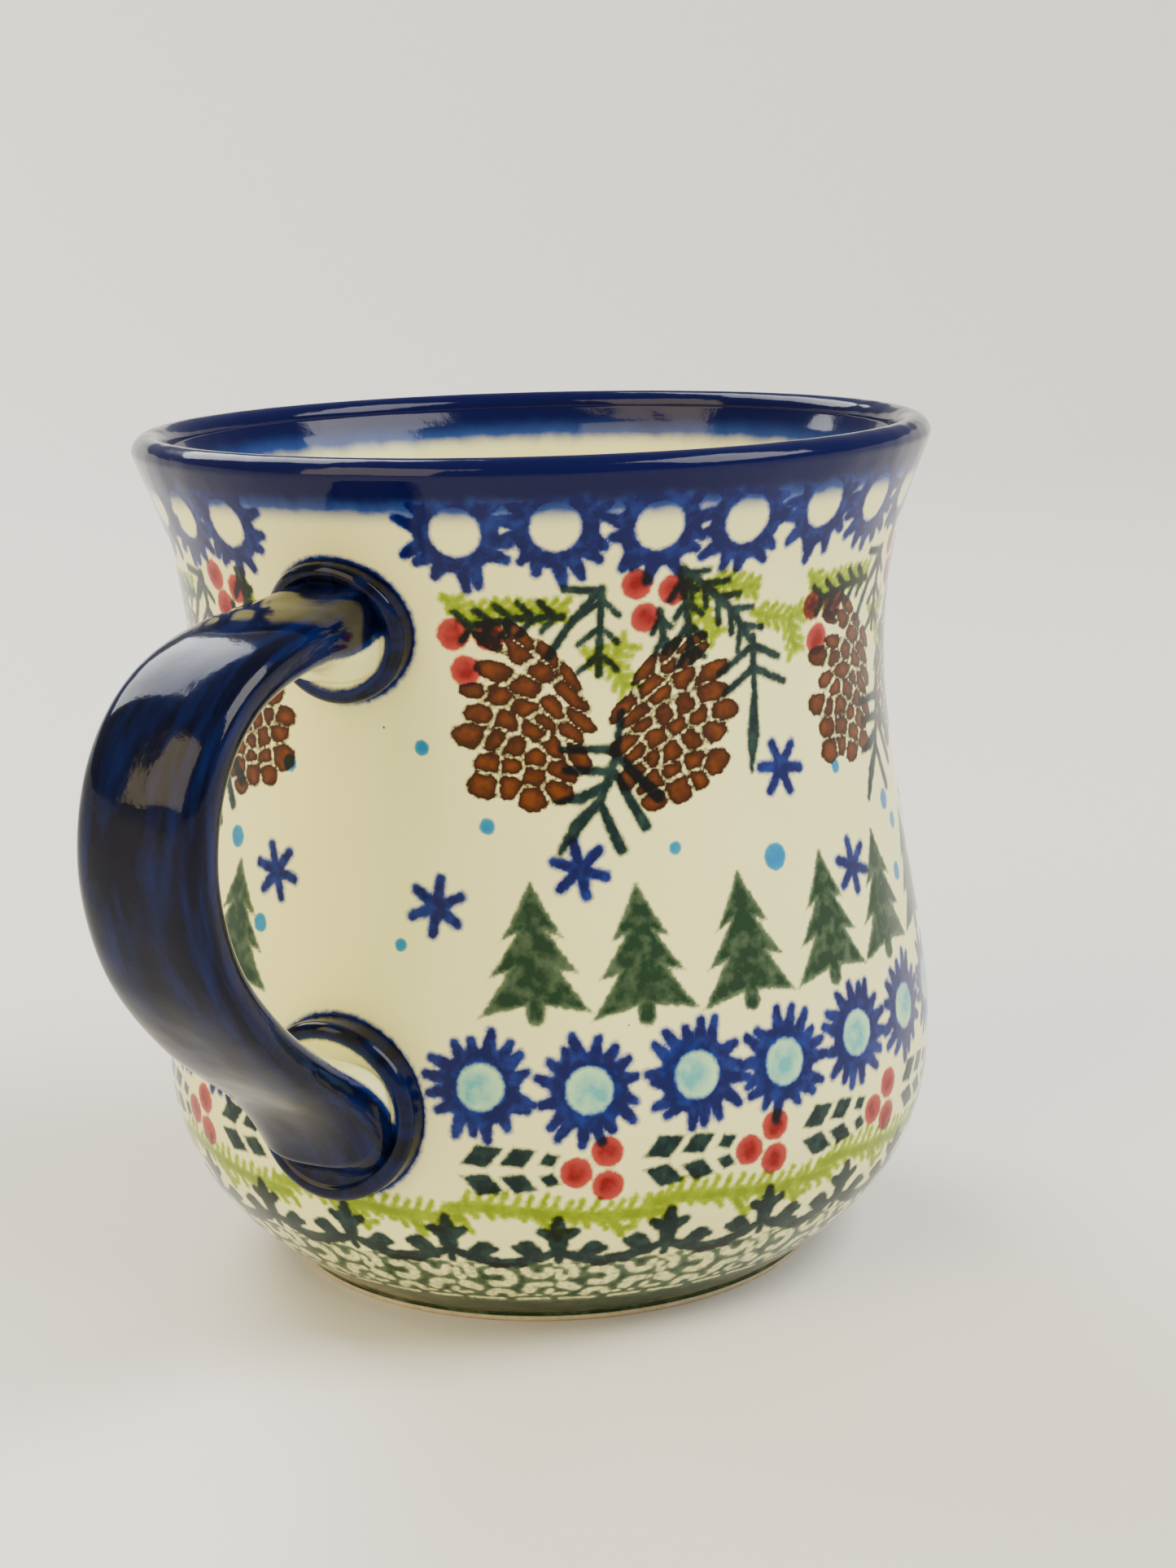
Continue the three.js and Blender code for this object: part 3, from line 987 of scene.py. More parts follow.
@dataclass(frozen=True)
class SharedEffects:
    """The node groups that more than one finish uses."""

    brush: bpy.types.NodeTree
    pigment: bpy.types.NodeTree
    skin: bpy.types.NodeTree

    @classmethod
    def make(cls) -> "SharedEffects":
        """Builds each group once."""
        return cls(cls.brush_marks(), cls.painted_pigment(), cls.glaze_skin())

    @staticmethod
    def brush_marks() -> bpy.types.NodeTree:
        """Unevenness of paint under glaze.

        Wobble moves an edge by up to half a millimetre either way, Mottle is the thickness of
        the paint from 0 to 1 in blotches with finer marks inside, and Grain is a fine dusting.
        """
        takes = {"Place": PLACE, "Blotch Size": FLOAT, "Contrast": FLOAT}
        gives = {"Wobble": FLOAT, "Mottle": FLOAT, "Grain": FLOAT}
        tree, wiring, given, out = new_group("brush_marks", takes, gives)
        place = given["Place"]
        wobble = wiring.noise(place, 1.5, 3)
        wiring.put(out["Wobble"], wiring.math("SUBTRACT", wobble, 0.5))
        size = wiring.math("DIVIDE", 1.0, given["Blotch Size"])
        blotch = wiring.noise(place, size, 5)
        away = wiring.math("SUBTRACT", blotch, 0.5)
        strong = wiring.math("MULTIPLY_ADD", away, given["Contrast"], 0.5)
        wiring.put(out["Mottle"], wiring.clamp(strong))
        wiring.put(out["Grain"], wiring.noise(place, 5.5, 2))
        return tree

    @staticmethod
    def painted_pigment() -> bpy.types.NodeTree:
        """Paint over a ground colour, from its distance field in millimetres.

        The paint covers where the distance, moved by the wobble, is below 0. It goes from the
        edge colour at its edge to the body colour over Edge Reach, less where the mottle is low,
        and it is multiplied over the ground, so that two paints darken each other.
        """
        takes = {
            "Ground": TINT,
            "Distance": FLOAT,
            "Wobble": FLOAT,
            "Mottle": FLOAT,
            "Edge Colour": TINT,
            "Body Colour": TINT,
            "Edge Reach": FLOAT,
            "Softness": FLOAT,
            "Raggedness": FLOAT,
            "Strength": FLOAT,
        }
        gives = {"Colour": TINT}
        tree, wiring, given, out = new_group("painted_pigment", takes, gives)
        moved = wiring.math("MULTIPLY_ADD", given["Wobble"], given["Raggedness"], given["Distance"])
        inside = wiring.math("MULTIPLY", moved, -1.0)
        less = wiring.math("MULTIPLY", given["Softness"], -1.0)
        cover = wiring.step(inside, less, given["Softness"])
        depth = wiring.step(inside, 0.0, given["Edge Reach"])
        thick = wiring.math("MULTIPLY", depth, wiring.scale(given["Mottle"], 0.45, 1.35))
        paint = wiring.mix(wiring.clamp(thick), given["Edge Colour"], given["Body Colour"])
        share = wiring.math("MULTIPLY", cover, given["Strength"])
        wiring.put(out["Colour"], wiring.mix(share, given["Ground"], paint, "MULTIPLY"))
        return tree

    @staticmethod
    def glaze_skin() -> bpy.types.NodeTree:
        """The clear glaze: iron specks, a dusty tone, and a faint uneven surface.

        A speck is where the distance to the middle of a cell is below a small size that differs
        from cell to cell, as the cube of a chance number. Noise sizes are in marks to a
        millimetre, and Height is in millimetres.
        """
        takes = {"Place": PLACE, "Ground": TINT, "Specks": FLOAT, "Relief": FLOAT}
        gives = {"Colour": TINT, "Roughness": FLOAT, "Height": FLOAT}
        tree, wiring, given, out = new_group("glaze_skin", takes, gives)
        place = given["Place"]
        cells = wiring.node("ShaderNodeTexVoronoi", {"Vector": place, "Scale": 0.3})
        pick = wiring.node("ShaderNodeSeparateColor", {0: cells.outputs["Color"]}).outputs[0]
        size = wiring.math("MULTIPLY", wiring.math("POWER", pick, 3.0), 0.062)
        rim = wiring.math("MULTIPLY", size, 0.45)
        speck = wiring.math("SUBTRACT", 1.0, wiring.step(cells.outputs["Distance"], rim, size))
        share = wiring.math("MULTIPLY", speck, given["Specks"])
        dark = colour("4a4234")
        fine = wiring.scale(wiring.noise(place, 7.0, 1), 0.955, 1.045)
        cloud = wiring.scale(wiring.noise(place, 0.06, 2), 0.93, 1.06)
        tone = wiring.math("MULTIPLY", fine, cloud)
        grey = wiring.node("ShaderNodeCombineColor", {0: tone, 1: tone, 2: tone}).outputs[0]
        dusted = wiring.mix(given["Specks"], given["Ground"], grey, "MULTIPLY")
        wiring.put(out["Colour"], wiring.mix(share, dusted, dark))
        film = wiring.noise(place, 0.25, 3)
        wiring.put(out["Roughness"], wiring.scale(film, 0.05, 0.15))
        waves = wiring.noise(place, 0.16, 1)
        peel = wiring.noise(place, 1.1, 2)
        swell = wiring.math("MULTIPLY_ADD", waves, 0.22, wiring.math("MULTIPLY", peel, 0.012))
        wiring.put(out["Height"], wiring.math("MULTIPLY", swell, given["Relief"]))
        return tree


@dataclass(frozen=True)
class Paint:
    """How one pigment looks over the cream glaze."""

    edge: str
    body: str
    reach: float = 0.8
    softness: float = 0.14
    raggedness: float = 0.35
    strength: float = 1.0


CREAM = "e9e6a0"
PAINTS = {
    Pigment.WASH: Paint("b0dad0", "3f9cca", reach=3.0, softness=0.3, strength=0.95),
    Pigment.SKY: Paint("2c86b0", "166ea2", reach=0.5, softness=0.14),
    Pigment.LIME: Paint("94a800", "6e8200", reach=0.6, softness=0.24, raggedness=0.8),
    Pigment.RED: Paint("a23a34", "740c0a", reach=1.3, softness=0.2, raggedness=0.5),
    Pigment.BROWN: Paint("281002", "623006", reach=0.8, softness=0.12, raggedness=0.6),
    Pigment.FIR: Paint("54664a", "16301c", reach=0.65, softness=0.2, raggedness=0.6),
    Pigment.PINE: Paint("2a443c", "0a1e20", reach=0.42, softness=0.24, raggedness=0.5),
    Pigment.COBALT: Paint("1e3684", "0a1048", reach=0.5, softness=0.3, raggedness=0.5),
}


def new_material(name: str) -> tuple[bpy.types.Material, Wiring, bpy.types.Node]:
    """A material with one Principled shader.

    Args:
        name: the material's name.

    Returns:
        The material, its wiring and the shader node.
    """
    material = bpy.data.materials.new(name)
    material.use_nodes = True
    material.node_tree.nodes.clear()
    wiring = Wiring(material.node_tree)
    shader = wiring.node("ShaderNodeBsdfPrincipled")
    end = wiring.node("ShaderNodeOutputMaterial")
    wiring.put(end.inputs["Surface"], shader.outputs["BSDF"])
    return material, wiring, shader


@dataclass(frozen=True)
class GlossyGlaze:
    """What every glazed finish shares: a clear glaze over colour, as one glossy shader."""

    effects: SharedEffects
    specks: float = 1.0
    relief: float = 1.0
    gloss: float = 0.15
    refraction: float = 1.5

    def place(self, wiring: Wiring) -> bpy.types.NodeSocket:
        """The point on the object in millimetres."""
        spot = wiring.node("ShaderNodeTexCoord").outputs["Object"]
        inputs = {0: spot, "Scale": 1 / MM}
        return wiring.node("ShaderNodeVectorMath", inputs, operation="SCALE").outputs[0]

    def marks(self, wiring: Wiring, place: object, size: float, contrast: float) -> dict:
        """The brush marks at a place, by their names."""
        inputs = {"Place": place, "Blotch Size": size, "Contrast": contrast}
        made = wiring.node("ShaderNodeGroup", inputs, node_tree=self.effects.brush)
        return dict(made.outputs.items())

    def pigment(
        self, wiring: Wiring, ground: object, distance: object, marks: dict, paint: Paint
    ) -> bpy.types.NodeSocket:
        """Ground with one pigment painted over it."""
        inputs = {
            "Ground": ground,
            "Distance": distance,
            "Wobble": marks["Wobble"],
            "Mottle": marks["Mottle"],
            "Edge Colour": over(paint.edge, CREAM),
            "Body Colour": over(paint.body, CREAM),
            "Edge Reach": paint.reach,
            "Softness": paint.softness,
            "Raggedness": paint.raggedness,
            "Strength": paint.strength,
        }
        made = wiring.node("ShaderNodeGroup", inputs, node_tree=self.effects.pigment)
        return made.outputs["Colour"]

    def glaze(self, wiring: Wiring, shader: bpy.types.Node, place: object, ground: object) -> None:
        """Lays the clear glaze over ground and feeds the shader."""
        inputs = {
            "Place": place,
            "Ground": ground,
            "Specks": self.specks,
            "Relief": self.relief,
        }
        made = wiring.node("ShaderNodeGroup", inputs, node_tree=self.effects.skin)
        wiring.put(shader.inputs["Base Color"], made.outputs["Colour"])
        wiring.put(shader.inputs["Roughness"], made.outputs["Roughness"])
        relief = {"Height": made.outputs["Height"], "Distance": MM, "Strength": 1.0}
        bump = wiring.node("ShaderNodeBump", relief)
        wiring.put(shader.inputs["Normal"], bump.outputs[0])
        shader.inputs["IOR"].default_value = self.refraction
        shader.inputs["Specular IOR Level"].default_value = self.gloss


@dataclass(frozen=True)
class DecoratedGlaze(GlossyGlaze):
    """The cup's glaze: cream, painted by the canvas layers, with the blue lip band."""

    band_foot: float = 91.0
    band_full: float = 97.0
    inside_full: float = 102.2
    inside_end: float = 109.4

    def material(self) -> bpy.types.Material:
        """The whole finish."""
        material, wiring, shader = new_material("decorated_cream_glaze")
        place = self.place(wiring)
        marks = self.marks(wiring, place, 1.6, 2.6)
        ground: object = colour(CREAM)
        for pigment, paint in PAINTS.items():
            ground = self.pigment(wiring, ground, wiring.layer(pigment), marks, paint)
        ground = self.lip_band(wiring, ground, place)
        self.glaze(wiring, shader, place, ground)
        return material

    def lip_band(self, wiring: Wiring, ground: object, place: object) -> bpy.types.NodeSocket:
        """The sponged cobalt band over the lip.

        Its thickness rises in two soft steps from its lower edge, stays full over the lip, and
        fades inside. Clouds of noise move the second step and the inner edge.
        """
        height = wiring.along()
        marks = self.marks(wiring, place, 3.2, 2.2)
        drift = wiring.math("SUBTRACT", marks["Mottle"], 0.5)
        wave = wiring.math("MULTIPLY_ADD", drift, 1.5, height)
        first = wiring.step(height, self.band_foot, self.band_foot + 4.8)
        second = wiring.step(wave, self.band_foot + 2.2, self.band_full)
        outer = wiring.math("MULTIPLY_ADD", second, 0.5, wiring.math("MULTIPLY", first, 0.5))
        calm = wiring.math("MULTIPLY_ADD", drift, 0.5, height)
        inner = wiring.math("SUBTRACT", 1.0, wiring.step(calm, self.inside_full, self.inside_end))
        cover = wiring.math("MULTIPLY", outer, inner)
        thin, thick = colour("304c90"), colour("090c3a")
        tint = wiring.mix(wiring.step(cover, 0.04, 0.85), thin, thick)
        share = wiring.step(cover, 0.0, 0.4)
        return wiring.mix(share, ground, tint, "DARKEN")


@dataclass(frozen=True)
class HandleGlaze(GlossyGlaze):
    """The handle's and collars' glaze: brushed cobalt over cream, by their own cobalt layer."""

    streaks: float = 22.0
    streak_length: float = 9.0

    def material(self) -> bpy.types.Material:
        """The whole finish."""
        material, wiring, shader = new_material("brushed_cobalt_glaze")
        place = self.place(wiring)
        stretch = {0: wiring.wrap(), 1: (self.streaks, 1 / self.streak_length, 1.0)}
        brushed = wiring.node("ShaderNodeVectorMath", stretch, operation="MULTIPLY").outputs[0]
        marks = self.marks(wiring, brushed, 1.0, 1.5)
        marks["Wobble"] = self.marks(wiring, place, 2.0, 1.0)["Wobble"]
        layer = wiring.layer(Pigment.COBALT)
        paint = Paint("112464", "04061a", reach=1.2, softness=0.3, raggedness=0.4)
        ground = self.pigment(wiring, colour(CREAM), layer, marks, paint)
        self.glaze(wiring, shader, place, ground)
        return material


@dataclass(frozen=True)
class FootClay(GlossyGlaze):
    """The clay body: glazed in its recess and bare on the ring that it stands on."""

    ring_start: float = 20.0
    bare_roughness: float = 0.82

    def material(self) -> bpy.types.Material:
        """The whole finish."""
        material, wiring, shader = new_material("foot_clay")
        place = self.place(wiring)
        marks = self.marks(wiring, place, 1.2, 2.0)
        shifted = wiring.math("MULTIPLY_ADD", marks["Wobble"], 0.8, wiring.along())
        bare = wiring.step(shifted, self.ring_start, self.ring_start + 0.4)
        # Partly painted shade: the bare clay's two mottled tones are its own tan, set darker to
        # stand for the shade round the foot. The darker grain specks mixed in below are the clay's
        # own.
        clay = wiring.mix(marks["Mottle"], colour("a89a7c"), colour("c2b596"))
        grain = wiring.step(marks["Grain"], 0.62, 0.75)
        clay = wiring.mix(grain, clay, colour("85765a"))
        ground = wiring.mix(bare, colour(CREAM), clay)
        self.glaze(wiring, shader, place, ground)
        skin = shader.inputs["Roughness"].links[0].from_socket
        rough = wiring.node("ShaderNodeMix", data_type="FLOAT")
        for key, value in ((0, bare), (2, skin), (3, self.bare_roughness)):
            wiring.put(rough.inputs[key], value)
        wiring.put(shader.inputs["Roughness"], rough.outputs[0])
        return material


# --- The cup --------------------------------------------------------------------------------


@dataclass
class Cup:
    """The thrown cup. Drops are measured down from the lip, heights up from the table, in mm."""

    axis: float
    cup_height: float = 95.0
    rim_radius: float = 44.5
    flare_radius: float = 40.7
    flare_drop: float = 13.0
    waist_radius: float = 39.35
    waist_drop: float = 28.0
    belly_radius: float = 44.3
    belly_height: float = 26.0
    lower_belly_radius: float = 42.8
    lower_belly_height: float = 15.2
    tuck_radius: float = 38.3
    tuck_height: float = 7.6
    foot_radius: float = 30.8
    foot_height: float = 1.0
    wall_thickness: float = 4.2
    lip_thickness: float = 3.8
    floor_thickness: float = 6.0
    floor_fillet: float = 9.0
    foot_ring_width: float = 4.0
    foot_recess: float = 2.4
    foot_recess_slope: float = 1.6
    foot_edge: float = 0.5
    glaze_thickness: float = 0.5
    glaze_foot: float = 1.0
    wall_length: float = 100.1
    columns: int = 960
    row_step: float = 0.3
    zones: tuple[str, ...] = ("border", "belly", "field", "garland")
    zone_tops: tuple[float, ...] = (27.0, 51.0, 74.0, 96.6)
    lip_end: float = 118.0
    lip_rows: int = 72
    liner_rows: int = 150
    liner_columns: int = 320
    clay_columns: int = 256
    edge_gap: float = 0.04
    lip_blend: float = 8.0
    pole_radius: float = 0.6
    pieces: list[bpy.types.Object] = field(default_factory=list)

    def __post_init__(self) -> None:
        """Works out the section and paints the canvas."""
        self.wall = self.outer_wall()
        self.section = self.glazed_section()
        lengths = run_lengths(self.section)
        top = lengths[np.argmax(self.section[:, 1])]
        self.measure = lengths * self.wall_length / top
        self.facing = directions(self.section)[:, ::-1] * (1, -1)
        zone_count = len(self.zones)
        bounds = np.concatenate([[self.glaze_foot], self.zone_tops])
        steps = [round((bounds[i + 1] - bounds[i]) / self.row_step) for i in range(zone_count)]
        self.zone_rows = np.concatenate([[0], np.cumsum(steps)])
        heights = [
            np.linspace(bounds[i], bounds[i + 1], steps[i], endpoint=False)
            for i in range(zone_count)
        ]
        self.heights = np.concatenate([*heights, bounds[-1:]])
        radii = self.at(self.heights)[0][:, 0]
        self.canvas = Canvas(self.columns, self.heights, radii)

    def outer_wall(self) -> Field:
        """The outer wall from the top of the foot to the side of the lip, as (radius, height)."""
        stations = (
            (self.foot_radius, self.foot_height),
            (self.tuck_radius, self.tuck_height),
            (self.lower_belly_radius, self.lower_belly_height),
            (self.belly_radius, self.belly_height),
            (self.waist_radius, self.cup_height - self.waist_drop),
            (self.flare_radius, self.cup_height - self.flare_drop),
            (self.rim_radius, self.cup_height - self.lip_thickness / 2),
        )
        return centripetal_curve(np.array(stations), 120)

    def glazed_section(self) -> Field:
        """The section from the foot's edge up the wall, over the lip and in to the axis.

        The lip is a half circle, the inner wall is the outer wall moved in along its normals,
        and the floor meets it in a quadratic curve.
        """
        edge = np.linspace(0, math.pi / 2, 7)[:-1]
        foot = np.stack(
            [
                self.foot_radius - self.foot_edge + self.foot_edge * np.sin(edge),
                self.foot_edge - self.foot_edge * np.cos(edge),
            ],
            axis=1,
        )
        half = self.lip_thickness / 2
        turn = np.linspace(0, math.pi, 48)[1:]
        lip = np.stack(
            [
                self.rim_radius - half + half * np.cos(turn),
                self.cup_height - half + half * np.sin(turn),
            ],
            axis=1,
        )
        outwards = directions(self.wall)[:, ::-1] * (1, -1)
        drop = self.cup_height - half - self.wall[:, 1]
        swell = self.wall_thickness - self.lip_thickness
        swell = smooth_step(drop, 0, self.lip_blend) * swell
        inner = self.wall - outwards * (self.lip_thickness + swell)[:, None]
        low, high = self.floor_thickness + self.floor_fillet, self.cup_height - self.lip_thickness
        inner = inner[(inner[:, 1] > low) & (inner[:, 1] < high)][::-1]
        start = inner[-1]
        bend = np.array([start[0] - self.floor_fillet / 2, self.floor_thickness])
        flat = np.array([start[0] - 2 * self.floor_fillet, self.floor_thickness])
        t = np.linspace(0, 1, 40)[1:, None]
        fillet = (1 - t) ** 2 * start + 2 * t * (1 - t) * bend + t**2 * flat
        floor = np.linspace(flat, (self.pole_radius, self.floor_thickness), 40)[1:]
        return np.concatenate([foot, self.wall, lip, inner, fillet, floor])

    def at(self, measures: Field) -> tuple[Field, Field]:
        """The section's points and outward normals at distances along it."""
        place = [np.interp(measures, self.measure, self.section[:, i]) for i in (0, 1)]
        normal = [np.interp(measures, self.measure, self.facing[:, i]) for i in (0, 1)]
        normals = np.stack(normal, 1)
        normals = normals / np.linalg.norm(normals, axis=1, keepdims=True)
        return np.stack(place, 1), normals

    def measure_at(self, height: float) -> float:
        """How far up the outer wall a height is."""
        top = np.argmax(self.section[:, 1])
        return float(np.interp(height, self.section[:top, 1], self.measure[:top]))

    def revolve(
        self,
        name: str,
        profile: Field,
        normals: Field,
        measures: Field,
        layers: dict[str, Field],
        columns: int,
        ring: bool,
    ) -> bpy.types.Object:
        """A surface of revolution: each profile point goes once round the cup's axis.

        Args:
            name: the piece's name.
            profile: (radius, height) points in millimetres.
            normals: the profile's normals.
            measures: each point's distance along the section, for the wrap map.
            layers: the painted layers on the grid.
            columns: how many steps the turn has.
            ring: True if the profile is closed on itself.

        Returns:
            The piece.
        """
        turn = np.arange(columns) / columns
        angle = math.pi + 2 * math.pi * turn
        cos, sin = np.cos(angle)[None, :], np.sin(angle)[None, :]
        radius, height = profile[:, :1] * MM, profile[:, 1:] * MM
        level = np.ones_like(cos)
        points = np.stack([self.axis + radius * cos, radius * sin, height * level], -1)
        out, up = normals[:, :1], normals[:, 1:]
        facing = np.stack([out * cos, out * sin, up * level], -1)
        shares = np.concatenate([turn, [1.0]])
        wrap = np.stack(np.broadcast_arrays(shares[None, :], measures[:, None]), -1)
        made = skin_mesh(name, points, wrap, layers, facing, ring)
        self.pieces.append(made)
        return made

    def glaze_shell(
        self,
        name: str,
        measures: Field,
        hidden: Field,
        layers: dict[str, Field],
        columns: int,
        ring: bool = True,
    ) -> None:
        """A closed shell of glaze: the face, and under it some of its rows moved in.

        Args:
            name: the piece's name.
            measures: the face's rows, as distances along the section.
            hidden: the numbers of the rows that the back has, from the last to the first.
            layers: the painted layers on the face's rows.
            columns: how many steps the turn has.
            ring: False if the back comes first and the shell is closed at its middle.
        """
        top, normals = self.at(measures)
        under = (top - normals * self.glaze_thickness)[hidden]
        parts = [(np.arange(len(measures)), top, normals), (hidden, under, -normals[hidden])]
        parts = parts if ring else parts[::-1]
        order, profile, facing = (np.concatenate(part) for part in zip(*parts))
        ordered = {key: values[order] for key, values in layers.items()}
        self.revolve(name, profile, facing, measures[order], ordered, columns, ring)

    def build_zones(self) -> None:
        """The four decorated zones of the outer wall."""
        for number, zone in enumerate(self.zones):
            first, last = self.zone_rows[number], self.zone_rows[number + 1] + 1
            hidden = np.append(np.arange(last - first)[:4:-8], 0)
            layers = self.canvas.named(slice(first, last))
            self.glaze_shell(
                f"glaze_{zone}", self.heights[first:last], hidden, layers, self.columns
            )

    def build_plain(self, name: str, start: float, end: float, rows: int, columns: int) -> None:
        """A shell of glaze that the decoration doesn't reach, between two distances.

        Args:
            name: the piece's name.
            start: where it starts along the section.
            end: where it ends. At the section's end it is closed at its middle.
            rows: how many rows its face has.
            columns: how many steps the turn has.
        """
        layers = {pigment.value: np.full((rows, columns), FAR) for pigment in Pigment}
        measures = np.linspace(start, end, rows)
        hidden = np.arange(rows)[::-3]
        self.glaze_shell(name, measures, hidden, layers, columns, end < self.measure[-1])

    def build_clay(self) -> None:
        """The clay body: bare foot ring and recess, and the walls under the glaze."""
        inner_edge = self.foot_radius - self.foot_ring_width
        corner = self.foot_edge
        underside = np.array(
            [
                (self.pole_radius, self.foot_recess),
                (inner_edge - self.foot_recess_slope - 1, self.foot_recess),
                (inner_edge - self.foot_recess_slope, self.foot_recess - 0.2),
                (inner_edge - 0.3, 0.3),
                (inner_edge + 0.4, 0.0),
                (self.foot_radius - corner, 0.0),
            ]
        )
        under = points_at(underside, np.linspace(0, run_lengths(underside)[-1], 90))
        side, _ = self.at(np.linspace(0.05, self.glaze_foot - self.edge_gap, 14))
        start = self.glaze_foot + self.edge_gap / 2
        hidden, normals = self.at(np.linspace(start, self.measure[-1], 120))
        hidden = hidden - normals * self.glaze_thickness
        profile = np.concatenate([under, side, hidden])
        lengths = run_lengths(profile)
        facing = directions(profile)[:, ::-1] * (1, -1)
        layers = {Pigment.COBALT.value: np.full((len(profile), self.clay_columns), FAR)}
        self.revolve("clay_body", profile, facing, lengths, layers, self.clay_columns, False)

    def build(self, glaze: bpy.types.Material, clay: bpy.types.Material) -> None:
        """Makes and dresses every piece of the cup.

        Args:
            glaze: the decorated glaze.
            clay: the clay's finish.
        """
        top, end = self.zone_tops[-1], self.measure[-1]
        self.build_zones()
        self.build_plain("glaze_lip", top, self.lip_end, self.lip_rows, self.columns // 2)
        self.build_plain("glaze_liner", self.lip_end, end, self.liner_rows, self.liner_columns)
        for piece in self.pieces:
            piece.data.materials.append(glaze)
        self.build_clay()
        self.pieces[-1].data.materials.append(clay)
        for piece in self.pieces:
            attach(piece, "root")
            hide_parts("cup_body")
            log.info("%s: %d faces", piece.name, len(piece.data.polygons))


# --- The handle -----------------------------------------------------------------------------


@dataclass(frozen=True)
class Root:
    """Where the strap meets the cup: its height, and its section there, in millimetres."""

    height: float
    width: float
    thickness: float


@dataclass
class Handle:
    """The strap handle and the collars round its two roots. Sizes are in millimetres."""

    cup: Cup
    upper: Root = Root(77.3, 12.0, 10.4)
    lower: Root = Root(27.1, 15.2, 12.0)
    stations: tuple[tuple[float, float], ...] = (
        (1.016, 13.0),
        (0.954, 24.8),
        (0.835, 31.2),
        (0.655, 33.0),
        (0.46, 29.1),
        (0.277, 20.3),
        (0.122, 9.2),
    )
    strap_width: float = 14.8
    strap_thickness: float = 5.85
    strap_roundness: float = 2.8
    root_blend: float = 11.0
    root_depth: float = 8.0
    root_sink: float = 2.4
    cream_share: float = 0.62
    collar_border: float = 2.2
    collar_proud: float = 2.6
    collar_sink: float = 2.5
    collar_bead: float = 1.05
    collar_turn: float = 0.74
    collar_shelf: float = 3.4
    collar_dip: float = 0.25
    collar_rise: float = 0.9
    collar_columns: int = 160
    collar_paint: float = 1.75
    collar_bleed: float = 0.2
    strap_rows: int = 300
    strap_columns: int = 144
    pieces: list[bpy.types.Object] = field(default_factory=list)

    def wall_radius(self, height: float) -> float:
        """The cup's outer radius at a height."""
        wall = self.cup.wall
        return float(np.interp(height, wall[:, 1], wall[:, 0]))

    def strap_line(self) -> Field:
        """The strap's middle line as (distance out from the axis, height)."""
        points = []
        for rise, clearance in self.stations:
            height = self.lower.height + (self.upper.height - self.lower.height) * rise
            points.append((self.wall_radius(height) + clearance, height))
        ends = [
            np.array((self.wall_radius(root.height), root.height))
            for root in (self.upper, self.lower)
        ]
        buried = []
        for end, neighbour in zip(ends, (points[0], points[-1])):
            inwards = end - np.array(neighbour)
            buried.append(end + inwards / np.linalg.norm(inwards) * self.root_depth)
        line = np.array([buried[0], ends[0], *points, ends[1], buried[1]])
        return centripetal_curve(line, 80)

    def build_strap(self) -> None:
        """The strap: a superellipse carried along its middle line, wider and thicker at the roots.

        Its cobalt layer is the distance below the line where the paint ends on the inner face.
        """
        line = self.strap_line()
        length = run_lengths(line)[-1]
        places = np.linspace(0.2, length - 0.2, self.strap_rows)
        centre = points_at(line, places)
        along = directions(centre)
        across = np.stack([-along[:, 1], along[:, 0]], 1)
        from_root = np.minimum(places, length - places) - self.root_depth
        half_width, half_thick = self.strap_sizes(from_root, places < length / 2)
        turn = 2 * math.pi * np.arange(self.strap_columns) / self.strap_columns
        power = 2 / self.strap_roundness
        sideways = np.sign(np.cos(turn)) * np.abs(np.cos(turn)) ** power
        outwards = np.sign(np.sin(turn)) * np.abs(np.sin(turn)) ** power
        high = half_thick[:, None] * outwards[None, :]
        side = half_width[:, None] * sideways[None, :]
        reach = centre[:, :1] + across[:, :1] * high
        level = centre[:, 1:] + across[:, 1:] * high
        cream = self.cream_share * (1 - smooth_step(-from_root, -self.root_blend, 1.0))
        below = (outwards[None, :] + cream[:, None]) * half_thick[:, None]
        cobalt = np.clip(-below, -FAR, FAR)
        run = np.broadcast_to(places[:, None], reach.shape)
        reach, side, level, cobalt, run = self.trimmed(reach, side, level, cobalt, run)
        points = np.stack([self.cup.axis - reach * MM, side * MM, level * MM], -1)
        around = np.concatenate([turn / (2 * math.pi), [1.0]])
        run = np.concatenate([run, run[:, :1]], 1)
        wrap = np.stack([np.broadcast_to(around, run.shape), run], -1)
        made = skin_mesh("strap_handle", points, wrap, {Pigment.COBALT.value: cobalt})
        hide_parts("handle")
        self.pieces.append(made)

    def strap_sizes(self, from_root: Field, upper: Field) -> tuple[Field, Field]:
        """Half the strap's width and thickness, which grow squarely towards the roots.

        Args:
            from_root: distances from the nearer root.
            upper: where the nearer root is the upper one.

        Returns:
            The two half sizes at each distance.
        """
        share = np.clip(1 - (from_root - self.collar_proud) / self.root_blend, 0, 1) ** 2
        width = np.where(upper, self.upper.width, self.lower.width)
        thick = np.where(upper, self.upper.thickness, self.lower.thickness)
        half_width = (self.strap_width + (width - self.strap_width) * share) / 2
        half_thick = (self.strap_thickness + (thick - self.strap_thickness) * share) / 2
        return half_width, half_thick

